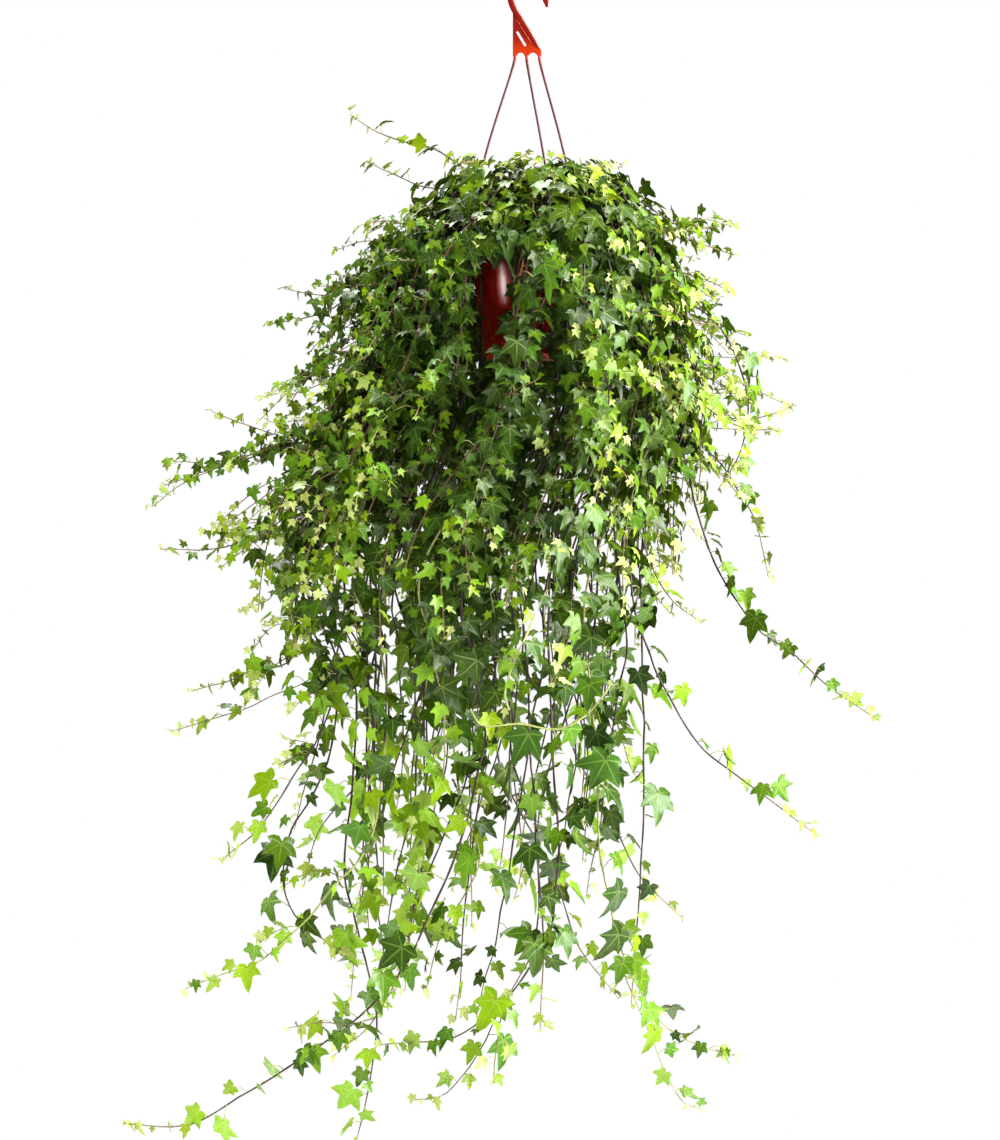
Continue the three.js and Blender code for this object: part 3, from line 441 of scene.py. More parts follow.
def make_mesh(name, vertices, quads=None, triangles=None):
    """A mesh from arrays of vertices, four-cornered and three-cornered faces."""
    quads = np.zeros((0, 4), int) if quads is None else np.asarray(quads).reshape(-1, 4)
    triangles = np.zeros((0, 3), int) if triangles is None else np.asarray(triangles).reshape(-1, 3)
    corners = np.concatenate([quads.ravel(), triangles.ravel()]).astype(np.int32)
    sizes = np.concatenate([np.full(len(quads), 4), np.full(len(triangles), 3)])
    starts = np.concatenate([[0], np.cumsum(sizes)[:-1]]).astype(np.int32)
    mesh = bpy.data.meshes.new(name)
    mesh.vertices.add(len(vertices))
    mesh.vertices.foreach_set("co", np.asarray(vertices, np.float32).ravel())
    mesh.loops.add(len(corners))
    mesh.loops.foreach_set("vertex_index", corners)
    mesh.polygons.add(len(sizes))
    mesh.polygons.foreach_set("loop_start", starts)
    mesh.update(calc_edges=True)
    mesh.validate()
    mesh.polygons.foreach_set("use_smooth", np.ones(len(mesh.polygons), bool))
    return mesh


def ring_faces(rows, sides):
    """Four-cornered faces between rings of points that follow each other; each ring closes on
    itself."""
    ring = np.arange(rows - 1)[:, None] * sides
    side = np.arange(sides)[None, :]
    following = (side + 1) % sides
    return np.stack([ring + side, ring + following, ring + sides + following, ring + sides + side],
                    axis=-1).reshape(-1, 4)


def fan_faces(centre, first, sides):
    """Three-cornered faces from a middle point to the ring that starts at the point `first`."""
    side = np.arange(sides)
    return np.stack([np.full(sides, centre), first + side, first + (side + 1) % sides], axis=1)


def add_values(mesh, **values):
    """Point attributes of the mesh, one number to a vertex."""
    for name, numbers in values.items():
        attribute = mesh.attributes.new(name, "FLOAT", "POINT")
        attribute.data.foreach_set("value", np.asarray(numbers, np.float32))


def add_uv(mesh, vertex_uv):
    """A UV map that gives each corner its vertex's coordinates."""
    corners = np.zeros(len(mesh.loops), np.int32)
    mesh.loops.foreach_get("vertex_index", corners)
    layer = mesh.uv_layers.new(name="UVMap")
    layer.uv.foreach_set("vector", np.asarray(vertex_uv, np.float32)[corners].ravel())


def add_piece(name, mesh, material, slot, *replaced, sharp=None):
    """Puts a mesh into the scene as a piece that rides on the part and stands for the replaced
    nodes."""
    if sharp is not None:
        mesh.set_sharp_from_angle(angle=math.radians(sharp))
    mesh.materials.append(material)
    piece = bpy.data.objects.new(name, mesh)
    bpy.context.scene.collection.objects.link(piece)
    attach(piece, "root")
    if replaced:
        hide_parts(*replaced)
    return piece


def sweep(path, profile, scale, up=(0.0, 1.0, 0.0)):
    """A closed bar: the profile (two coordinates a point) stands square to the path at each of its
    points, with its first coordinate as near to `up` as it can be, and is scaled there. Flat ends
    close it."""
    path, profile = np.asarray(path, float), np.asarray(profile, float)
    ahead = unit(np.gradient(path, axis=0))
    first = unit(np.asarray(up) - (ahead @ np.asarray(up))[:, None] * ahead)
    second = np.cross(ahead, first)
    scale = np.broadcast_to(np.asarray(scale, float), (len(path),))
    rings = (path[:, None, :]
             + scale[:, None, None] * (profile[None, :, :1] * first[:, None, :]
                                       + profile[None, :, 1:] * second[:, None, :]))
    rows, sides = len(path), len(profile)
    fan = np.arange(1, sides - 1)
    near = np.stack([np.zeros_like(fan), fan + 1, fan], axis=1)
    far = (rows - 1) * sides + np.stack([np.zeros_like(fan), fan, fan + 1], axis=1)
    return rings.reshape(-1, 3), ring_faces(rows, sides), np.vstack([near, far])


def round_profile(sides, radius=1.0):
    turn = 2 * np.pi * np.arange(sides) / sides
    return radius * np.stack([np.cos(turn), np.sin(turn)], axis=1)


def box_profile(half_a, half_b, power, sides):
    """A rounded rectangle: a circle whose cosine and sine are raised to 2 / power, at the half
    widths."""
    turn = 2 * np.pi * np.arange(sides) / sides
    shape = [np.sign(f) * np.abs(f) ** (2 / power) for f in (np.cos(turn), np.sin(turn))]
    return np.stack([half_a * shape[0], half_b * shape[1]], axis=1)


def lathe(profile, sides, middle):
    """Rings of a profile of radius and height turned round an upright axis."""
    profile = np.asarray(profile, float)
    turn = 2 * np.pi * np.arange(sides) / sides
    around = np.stack([np.cos(turn), np.sin(turn)], axis=1)
    rings = np.empty((len(profile), sides, 3))
    rings[..., :2] = profile[:, None, :1] * around[None] + np.asarray(middle)[:2]
    rings[..., 2] = profile[:, None, 1] + middle[2]
    return rings


def join_parts(parts):
    """One set of arrays from several (vertices, quads, triangles)."""
    offsets = np.concatenate([[0], np.cumsum([len(part[0]) for part in parts])[:-1]])
    vertices = np.vstack([part[0] for part in parts])
    quads = np.vstack([part[1] + offset for part, offset in zip(parts, offsets)])
    triangles = np.vstack([part[2] + offset for part, offset in zip(parts, offsets)])
    return vertices, quads, triangles


class Nodes:
    """Builds a material's nodes: each call adds one node with its inputs and gives back an output."""

    def __init__(self, name):
        self.material = bpy.data.materials.new(name)
        self.material.use_nodes = True
        self.tree = self.material.node_tree
        self.shader = self.tree.nodes["Principled BSDF"]

    def add(self, kind, inputs=(), output=0, **settings):
        node = self.tree.nodes.new(kind)
        for key, value in settings.items():
            setattr(node, key, value)
        for key, value in dict(inputs).items():
            self.set(node.inputs[key], value)
        return node.outputs[output]

    def set(self, socket, value):
        if isinstance(value, bpy.types.NodeSocket):
            self.tree.links.new(value, socket)
        elif hasattr(value, "__len__") and len(value) == 3 and socket.type == "RGBA":
            socket.default_value = (*value, 1)
        else:
            socket.default_value = value

    def math(self, operation, a, b=0.0):
        return self.add("ShaderNodeMath", {0: a, 1: b}, operation=operation)

    def steps(self, value, low, high, to_low=0.0, to_high=1.0):
        """Smooth step of a value between two limits."""
        return self.add(
            "ShaderNodeMapRange", {0: value, 1: low, 2: high, 3: to_low, 4: to_high},
            interpolation_type="SMOOTHSTEP")

    def mix(self, share, a, b, blend="MIX"):
        """Share of the second colour in the first."""
        return self.add(
            "ShaderNodeMix", {0: share, 6: a, 7: b}, output=2, data_type="RGBA", blend_type=blend)

    def value(self, name):
        """Number that the piece's vertices carry under this name."""
        return self.add("ShaderNodeAttribute", output=2, attribute_name=name)

    def noise(self, scale, detail=2.0):
        """Cloudy pattern on Object coordinates."""
        place = self.add("ShaderNodeTexCoord", output=3)
        return self.add("ShaderNodeTexNoise", {"Vector": place, "Scale": scale, "Detail": detail})

    def bump(self, strength, distance, height):
        return self.add("ShaderNodeBump", {"Strength": strength, "Distance": distance, "Height": height})

    def finish(self, **sockets):
        """Sets the shader's inputs and gives back the material."""
        for name, value in sockets.items():
            self.set(self.shader.inputs[name.replace("_", " ")], value)
        return self.material


def leaf_veins(nodes, place):
    """Lines along the middle of the five lobes: near a lobe's axis in the leaf's UV map, the
    thinner the further out. The leaf is folded over its middle, so three axes draw all five."""
    split = nodes.tree.nodes.new("ShaderNodeSeparateXYZ")
    nodes.set(split.inputs[0], place)
    across = nodes.math("MULTIPLY", nodes.math("SUBTRACT", split.outputs[0], 0.5), 2.0)
    across = nodes.math("ABSOLUTE", across)
    along = nodes.math("MULTIPLY", nodes.math("SUBTRACT", split.outputs[1], 0.3), 2.0)
    veins = None
    for angle, width in zip(LOBE_ANGLES, (0.020, 0.016, 0.013)):
        sine, cosine = math.sin(math.radians(angle)), math.cos(math.radians(angle))
        out = nodes.math("ADD", nodes.math("MULTIPLY", across, sine), nodes.math("MULTIPLY", along, cosine))
        aside = nodes.math("ABSOLUTE", nodes.math(
            "SUBTRACT", nodes.math("MULTIPLY", across, cosine), nodes.math("MULTIPLY", along, sine)))
        taper = nodes.math("MULTIPLY", nodes.math("SUBTRACT", 1.1, out), width)
        offset = nodes.math("DIVIDE", aside, nodes.math("MAXIMUM", taper, 0.003))
        line = nodes.steps(offset, 0.5, 2.2, 1.0, 0.0)
        line = nodes.math("MULTIPLY", line, nodes.steps(out, 0.0, 0.02))
        veins = line if veins is None else nodes.math("MAXIMUM", veins, line)
    return veins


def leaf_material(leaf):
    """Waxy leaf. The colour runs from dark through grown and fresh to young with the leaf's `age`
    value, which is 1 at a vine's tip, and shifts a little with its `tint`. As the age value carries
    painted light and shade, the dark colour stands partly for painted shade and the fresh and young
    colours partly for painted light. Veins follow its UV map and a fine net lies between them; the
    lower face is paler and duller."""
    nodes = Nodes("ivy_leaf")
    age, tint, under = nodes.value("age"), nodes.value("tint"), nodes.value("under")
    colour = nodes.mix(nodes.steps(age, 0.0, 0.34), leaf.dark, leaf.grown)
    colour = nodes.mix(nodes.steps(age, 0.30, 0.66), colour, leaf.fresh)
    colour = nodes.mix(nodes.steps(age, 0.62, 1.0), colour, leaf.young)
    patches = nodes.noise(scale=70.0, detail=3.0)
    colour = nodes.mix(nodes.steps(patches, 0.35, 0.75, 0.0, 0.35), colour,
                       nodes.mix(1.0, colour, (0.62, 0.72, 0.55), "MULTIPLY"))
    hue = nodes.add(
        "ShaderNodeHueSaturation",
        {"Hue": nodes.math("ADD", nodes.math("MULTIPLY", tint, 0.034), 0.480),
         "Saturation": nodes.math("SUBTRACT", 1.12, nodes.math("MULTIPLY", tint, 0.14)),
         "Value": nodes.math("ADD", nodes.math("MULTIPLY", tint, 0.5), 0.75), "Color": colour})
    place = nodes.add("ShaderNodeUVMap")
    veins = leaf_veins(nodes, place)
    quilt = nodes.math("ADD", nodes.math("MULTIPLY", veins, -0.6), nodes.math("MULTIPLY", patches, 0.5))
    cells = nodes.add("ShaderNodeTexVoronoi", {"Vector": place, "Scale": 16.0}, feature="DISTANCE_TO_EDGE")
    net = nodes.steps(cells, 0.0, 0.10, 0.22, 0.0)
    veins = nodes.math("MAXIMUM", veins, nodes.math("MULTIPLY", net, nodes.steps(age, 0.3, 0.8, 1.0, 0.3)))
    share = nodes.math("MULTIPLY", veins, nodes.steps(age, 0.45, 0.9, 0.75, 0.3))
    colour = nodes.mix(share, hue, nodes.mix(0.8, hue, leaf.vein, "SCREEN"))
    pale = nodes.mix(0.45, nodes.mix(1.0, colour, (1.3, 1.2, 1.2), "MULTIPLY"), (0.17, 0.25, 0.03))
    colour = nodes.mix(nodes.math("MULTIPLY", under, 0.75), colour, pale)
    rough = nodes.math("ADD", nodes.steps(patches, 0.3, 0.8, 0.30, 0.44),
                       nodes.math("MULTIPLY", under, 0.2))
    return nodes.finish(Base_Color=colour, Roughness=rough, Normal=nodes.bump(0.45, 0.6 * MM, quilt),
                        Specular_IOR_Level=0.26)


def stem_material(vine):
    """Stem that turns from brown wood to reddish young growth with `age`, and to pale green with
    `pale`."""
    nodes = Nodes("ivy_stem")
    grain = nodes.noise(scale=260.0, detail=3.0)
    colour = nodes.mix(nodes.steps(nodes.value("age"), 0.15, 0.95), vine.old, vine.young)
    colour = nodes.mix(nodes.value("pale"), colour, vine.pale)
    colour = nodes.mix(nodes.steps(grain, 0.3, 0.75, 0.0, 0.5), colour,
                       nodes.mix(1.0, colour, (0.45, 0.42, 0.40), "MULTIPLY"))
    return nodes.finish(Base_Color=colour, Roughness=0.55, Normal=nodes.bump(0.5, 0.4 * MM, grain))


def plastic_material(name, colour, roughness, shine, lower=None, top=0.0, depth=0.0):
    """Moulded plastic: glossy, with faint clouding in its colour and a slightly uneven skin. From
    the height `top` to `depth` below it the colour can turn into a lower one."""
    nodes = Nodes(name)
    cloud = nodes.noise(scale=34.0, detail=4.0)
    if lower:
        height = nodes.tree.nodes.new("ShaderNodeSeparateXYZ")
        nodes.set(height.inputs[0], nodes.add("ShaderNodeTexCoord", output=3))
        colour = nodes.mix(nodes.steps(height.outputs[2], top - depth, top), lower, colour)
    shade = nodes.mix(nodes.steps(cloud, 0.3, 0.8, 0.0, 0.35), colour,
                      nodes.mix(1.0, colour, (0.7, 0.6, 0.6), "MULTIPLY"))
    skin = nodes.bump(0.12, 0.2 * MM, nodes.noise(scale=900.0))
    rough = nodes.steps(cloud, 0.25, 0.8, roughness, roughness + 0.1)
    return nodes.finish(Base_Color=shade, Roughness=rough, Normal=skin, Specular_IOR_Level=shine,
                        Coat_Weight=0.3 * shine, Coat_Roughness=0.1)


def soil_material(colour):
    """Crumbly soil: brown fibres and dark peat mixed by two noises, with a rough surface."""
    nodes = Nodes("potting_soil")
    crumbs = nodes.noise(scale=420.0, detail=4.0)
    fibres = nodes.noise(scale=90.0, detail=5.0)
    shade = nodes.mix(nodes.steps(crumbs, 0.4, 0.7), colour, (0.11, 0.072, 0.045))
    shade = nodes.mix(nodes.steps(fibres, 0.55, 0.8, 0.0, 0.6), shade, (0.014, 0.009, 0.006))
    return nodes.finish(Base_Color=shade, Roughness=0.93, Normal=nodes.bump(0.9, 2 * MM, crumbs))


def fall_route(azimuth, reach, floor, random, sway=0.0):
    """Points of a vine that rises from the soil, arches over the crown and hangs. Its distance from
    the axis is its share of the spread, never shrinks and clears the pot; the lower it hangs the
    more it follows the shift of the spread's middle, with a drift that adds up slowly. It ends
    where it would leave the spread. Sway turns it round the pot on its way."""
    top, step, over_rim, pot_room = -0.295, 0.045, 0.02, 0.104
    rise = random.uniform(-0.008, 0.012)
    points = [
        around_pot(azimuth, FOOT_CIRCLE, RIM_Z - SOIL_DROP),
        around_pot(azimuth, FOOT_CIRCLE + 0.002, RIM_Z + 0.035),
        around_pot(azimuth, 0.040 + 0.045 * reach, -0.262 + rise),
    ]
    heights = np.arange(top, floor, -step)
    turn = np.radians(azimuth + random.uniform(-5, 5) + sway * (top - heights) / 0.3)
    shift, radius = spread_at(heights)
    out = reach * radius * (1 - 0.12 * ramp(heights, -0.36, 0.07)) + shift * np.cos(turn)
    out = np.maximum.accumulate(np.maximum(out, pot_room * (heights < RIM_Z + over_rim)))
    pace = random.normal(0, 0.0030, (len(heights), 2))
    for row in range(1, len(pace)):
        pace[row] += 0.72 * pace[row - 1]
    drift = np.cumsum(pace, axis=0)
    lean = random.uniform(0.0, 0.22) * np.clip(-heights - 0.82, 0, None)
    places = np.stack([
        POT_X + out * np.cos(turn) + 0.8 * shift * np.sin(turn) ** 2 + drift[:, 0] - lean,
        out * depth_at(heights) * np.sin(turn) + drift[:, 1],
        heights,
    ], axis=1)
    left = (((places[:, 0] - POT_X - shift) / radius) ** 2
            + (places[:, 1] / (radius * depth_at(heights))) ** 2)
    gone = np.flatnonzero((left > 1.3) & (heights < -0.5))
    if len(gone):
        places = places[:max(3, gone[0])]
    return np.vstack([points, places])


def drawn_route(drawn, random):
    """Points of a listed vine: out of the soil, over the crown, down the spread and along
    its tail."""
    plant, lean, low, reach, until, tail, _ = drawn
    start = plant_azimuth(plant)
    until *= MM
    points = [
        around_pot(start, FOOT_CIRCLE, RIM_Z - SOIL_DROP),
        around_pot(start + 0.5 * lean, FOOT_CIRCLE + 0.004, RIM_Z + 0.036),
        around_pot(start + lean, 0.096 * reach, -0.255 + random.uniform(-0.008, 0.008)),
    ]
    heights = list(HANG_HEIGHTS[HANG_HEIGHTS > until + 0.03]) + ([until] if until < -0.3 else [])
    for z in heights:
        turn = start + lean + (low - lean) * ramp(-z, 0.3, 0.6) + random.uniform(-1.5, 1.5)
        points.append(on_spread(turn, reach * 0.92 + random.uniform(-0.025, 0.025), z))
    return np.vstack([points, np.array(tail, float).reshape(-1, 3) * MM])


def add_vine(vines, plant, points, base, tip, pale, random, bare=0.0, dense=1.0, runner=False, quick=False,
             hidden=0.0):
    """Keeps a vine: its path with a slight waver, its radii at base and tip, how pale it is, and
    what its leaves need to know. It is bare for a length from its root, and its leaves stand
    `dense` times as close as usual. A runner has small fresh leaves, and a quick vine has full ones
    close to its tip; above the height `hidden` other vines cover it and it has few leaves."""
    path = smooth_path(points, PATH_STEP)
    count = len(path)
    waver = random.normal(0, 1, (count // 8 + 3, 3))
    places = np.linspace(0, len(waver) - 1, count)
    offset = np.stack([np.interp(places, np.arange(len(waver)), waver[:, k]) for k in range(3)], axis=1)
    ends = np.minimum(1, np.minimum(np.arange(count), np.arange(count)[::-1] + 4) / 12)[:, None]
    path = part_round_gap(path + offset * 0.0016 * ends, random.uniform(1.0, 1.9))
    vines.append({
        "plant": plant, "path": path, "base": base, "tip": tip, "pale": pale, "bare": bare, "dense": dense,
        "runner": runner, "quick": quick, "hidden": hidden, "tone": random.uniform(0, 1),
        "seed": int(random.integers(1 << 30))})
    return path


def add_drawn_vines(vines, vine, random):
    """The listed vines, their forks and the pale arcs. Gives back those at the left, each twice,
    as hosts of shoots: their plant, path and reach."""
    hosts = []
    base, tip = vine.base_radius, vine.tip_radius
    for drawn in VINES:
        plant, _, _, _, until, tail, forks = drawn
        pale = 1.0 if random.random() < 0.08 else 0.0
        path = add_vine(vines, plant, drawn_route(drawn, random), base, tip, pale, random, bare=0.06,
                        dense=1.2, quick=until > -300)
        if plant in (3, 4) and until < -400:
            hosts += 2 * [(plant, path, 0.95)]
        for start, points in forks:
            fork = np.array([tail[start]] + points, float) * MM
            add_vine(vines, plant, fork, 0.7 * base, tip, pale, random)
    for points in PALE_ARCS:
        add_vine(vines, 7, np.array(points) * MM, 0.8 * base, 0.8 * base, 1.3, random, dense=0.35)
    return hosts


def add_hanging_vines(vines, vine, random):
    """Vines spread evenly round the pot: outer ones, the long curtain inside them and the runners
    over them. Gives back the outer ones and the runners as hosts of shoots."""
    hosts = []

    def hang(number, count, reach, floor, sway=0.0, **habit):
        azimuth = FIRST_AZIMUTH + 360 * number / count + random.uniform(-2.5, 2.5)
        plant = plant_at(azimuth)
        pale = 1.0 if random.random() < 0.1 else 0.0
        route = fall_route(azimuth, reach, floor, random, sway)
        path = add_vine(vines, plant, route, vine.base_radius, vine.tip_radius, pale, random,
                        bare=0.05, **habit)
        return plant, path, reach

    for number in range(vine.hanging):
        reach = 0.70 + 0.15 * ((number * GOLDEN_SHARE) % 1)
        hosts.append(hang(number, vine.hanging, reach, random.uniform(-0.90, -0.58)))
    for number in range(vine.curtain):
        reach = 0.18 + 0.46 * ((number * GOLDEN_SHARE + 0.3) % 1)
        hang(number + 0.5, vine.curtain, reach, random.uniform(-1.34, -0.96), hidden=-0.58, dense=0.85)
    for number in range(vine.runners):
        reach = random.uniform(0.86, 0.94)
        sway = random.uniform(-22, 22)
        hosts.append(hang(number, vine.runners, reach, random.uniform(-0.82, -0.45), sway, runner=True))
    return hosts


def add_crown_shoots(vines, vine, random):
    """Short shoots that rise from the soil, lean over and fill the crown."""
    for _ in range(vine.crown):
        azimuth = random.uniform(0, 360)
        radius = 0.062 * math.sqrt(random.random())
        top = random.uniform(-0.275, -0.233)
        points = [
            around_pot(azimuth, radius, RIM_Z - SOIL_DROP), around_pot(azimuth, radius + 0.006, -0.305),
            around_pot(azimuth + 6, radius + 0.022, top), around_pot(azimuth + 9, radius + 0.055, top)]
        add_vine(vines, plant_at(azimuth), points, 0.8 * vine.base_radius, vine.tip_radius, 0.0, random,
                 bare=0.03, dense=1.25)


def add_side_shoots(vines, hosts, vine, random):
    """Short shoots that leave their hosts, rise a little outwards and to a side, and droop with the
    square of the distance. None crosses the gap in front of the pot."""
    for _ in range(vine.shoots):
        plant, path, reach = hosts[int(random.integers(len(hosts)))]
        root = path[int(random.integers(26, max(27, len(path) - 10)))]
        out = outwards_at(root)
        aside = np.cross(out, (0, 0, 1)) * random.choice((-1, 1))
        length = random.uniform(0.045, 0.115) * (1.3 - 0.5 * reach) * (1 + 0.5 * (random.random() < 0.15))
        droop = random.uniform(0.1, 1.0)
        steps = np.linspace(0, 1, 4)[:, None]
        points = (root + length * steps * (0.66 * out + random.uniform(0.1, 0.8) * aside)
                  + length * np.array([0, 0, 1]) * (0.45 * steps - droop * steps**2))
        if not gap_edge(smooth_path(points, PATH_STEP))[2].any():
            pale = 1.0 if random.random() < 0.3 else 0.0
            add_vine(vines, plant, points, 0.5 * vine.base_radius, vine.tip_radius, pale, random,
                     dense=1.25)


def add_wisps(vines, hosts, vine, random):
    """Long thin shoots that fray the outline: six tenths of them at the left, a quarter at the
    right and the rest anywhere. Each curls as it falls away from its host."""
    for number in range(vine.wisps):
        side = -1 if number < 0.6 * vine.wisps else int(number < 0.85 * vine.wisps)
        fits = False
        while not fits:
            plant, path, _ = hosts[int(random.integers(len(hosts)))]
            root = path[int(random.integers(38, max(39, int(0.8 * len(path)))))]
            fits = side * path[-1][0] >= 0.12 * abs(side) and root[2] > -0.95
        out = outwards_at(root)
        aside = np.cross(out, (0, 0, 1)) * random.uniform(-0.5, 0.5)
        curl = random.normal(0, 0.22, 3)
        length = random.uniform(0.08, 0.16)
        steps = np.linspace(0, 1, 5)[:, None]
        fall = random.uniform(0.2, 0.75) * steps + random.uniform(-0.4, 0.2) * steps * (1 - steps)
        points = root + length * (steps * (out + aside) + steps**2 * curl - fall * np.array([0, 0, 1]))
        add_vine(vines, plant, points, 0.5 * vine.base_radius, vine.tip_radius, 0.0, random, dense=1.15,
                 runner=True)


def grow_vines(vine):
    """All vines and shoots, from one random source."""
    random = np.random.default_rng(VINE_SEED)
    vines = []
    hosts = add_drawn_vines(vines, vine, random)
    hosts += add_hanging_vines(vines, vine, random)
    add_crown_shoots(vines, vine, random)
    add_side_shoots(vines, hosts, vine, random)
    add_wisps(vines, hosts, vine, random)
    return vines


def vine_tube(vine):
    """Tube round a vine's path whose radius falls towards the tip and swells a little at the nodes."""
    sides = 5
    path = vine["path"]
    path = path[::2] if len(path) % 2 else np.vstack([path[:-1:2], path[-1]])
    to_tip = np.concatenate([np.cumsum(np.linalg.norm(np.diff(path, axis=0), axis=1)[::-1])[::-1], [0]])
    grown = 1 - np.exp(-to_tip / 0.2)
    radius = vine["tip"] + (vine["base"] - vine["tip"]) * grown
    radius = radius * (1 + 0.14 * np.sin(np.arange(len(path)) * 1.9 + vine["seed"] % 7))
    part = sweep(path, round_profile(sides), radius, up=(0.31, 0.17, 0.05))
    age = np.repeat(np.maximum(np.exp(-to_tip / 0.09), 0.55 * vine["runner"]), sides)
    pale = np.repeat(np.maximum(0.75 * vine["pale"], 0.5 * np.exp(-to_tip / 0.03)), sides)
    return part, age, pale


def leaf_places(vine, leaf):
    """Nodes of a vine from its tip inwards: their places, direction of growth, distance from the
    tip, and the side of the vine. The steps grow from close at the tip to the full spacing. Some
    nodes have lost their leaf: most where other vines cover this one, and more the lower they hang."""
    random = np.random.default_rng(vine["seed"])
    path = vine["path"]
    lengths = np.linalg.norm(np.diff(path, axis=0), axis=1)
    along = np.concatenate([[0], np.cumsum(lengths)])
    number = np.arange(220)
    spacing = leaf.spacing / vine["dense"] * (1 + 0.3 * ramp(-path[-1][2], 0.85, 0.3))
    steps = spacing * (0.34 + 0.66 * ramp(number, 0, 6)) * random.uniform(0.65, 1.4, len(number))
    to_tip = np.cumsum(steps) - steps[0] + 0.002
    to_tip = to_tip[to_tip < along[-1] - vine["bare"]]
    height = np.interp(along[-1] - to_tip, along, path[:, 2])
    chance = np.where(height < vine["hidden"], 1 - 0.38 * ramp(-height, 0.78, 0.14), 0.4)
    chance[to_tip < 0.12] = 1
    to_tip = to_tip[random.random(len(to_tip)) < chance]
    at = along[-1] - to_tip
    ahead = unit(np.gradient(path, axis=0))
    places, directions = (np.stack([np.interp(at, along, rows[:, k]) for k in range(3)], axis=1)
                          for rows in (path, ahead))
    side = np.where(np.arange(len(at)) % 2, 1.0, -1.0) * random.choice((-1, 1))
    return places, unit(directions), to_tip, side, random


def leaf_ages_and_painted_light(vine, places, to_tip, crown, low_down, left_side, random):
    """Age value of each leaf, from 0 for the oldest to 1 for the youngest; the leaf's colour runs from
    dark to light with it. It falls with the distance from the tip. It also carries painted light and
    shade. It is raised for painted light in the crown and at the right. It is also raised low down, where
    it stands partly for younger growth and partly for painted light. It is lowered for painted shade
    in the core at the front, at the left and at the lower right. Leaves are older where chance has it.
    Away from a tip no leaf is wholly young."""
    x, y, z = places.T
    # Painted shade: in the core in front of the pot the leaves are made older, so darker.
    core = np.clip(1.6 - np.abs(x + 0.075) / 0.08, 0, 1) * ramp(z, -0.95, 0.2)
    core = core * (y < 0) * ramp(-z, 0.29, 0.05)
    # Painted light: at the right, where the light falls, the leaves are made younger, so lighter.
    right = ramp(x, 0.03, 0.17) * ramp(-z, 0.30, 0.1) * ramp(z, -0.86, 0.15)
    aged = (0.25 + 0.22 * low_down) * (random.random(len(x)) < 0.20 + 0.08 * low_down)
    age = np.exp(-to_tip / 0.055) * (0.80 - 0.25 * (z > -0.50) - 0.25 * core) + 0.20 * np.exp(-to_tip / 0.4)
    # Painted light from above: the crown's leaves are made younger, so lighter. The core's painted shade
    # and the right's painted light are added here too.
    age = age + 0.08 * vine["runner"] * (1 - 2 * low_down) + 0.23 * crown - 0.22 * core + 0.17 * right
    # Lower down the leaves are made younger, so lighter: partly younger growth, partly painted light.
    age = age + 0.28 * ramp(-z, 0.52, 0.48) + 0.1 * ramp(-z, 0.8, 0.2)
    # Painted shade: the low leaves from the middle to the right are made older, so darker.
    age = age - 0.20 * low_down * ramp(x, -0.12, 0.1)
    age = age + random.normal(0, 0.13, len(x)) * (1 + 0.9 * low_down + 0.5 * (z > -0.42)) - aged
    limit = 0.62 + 0.38 * np.exp(-to_tip / 0.05)
    # Each vine's tone shifts its leaves at random. At the left the leaves are made older, so darker:
    # painted shade.
    return np.clip(age + 0.2 * (vine["tone"] - 0.5) - 0.11 * left_side, 0, limit)


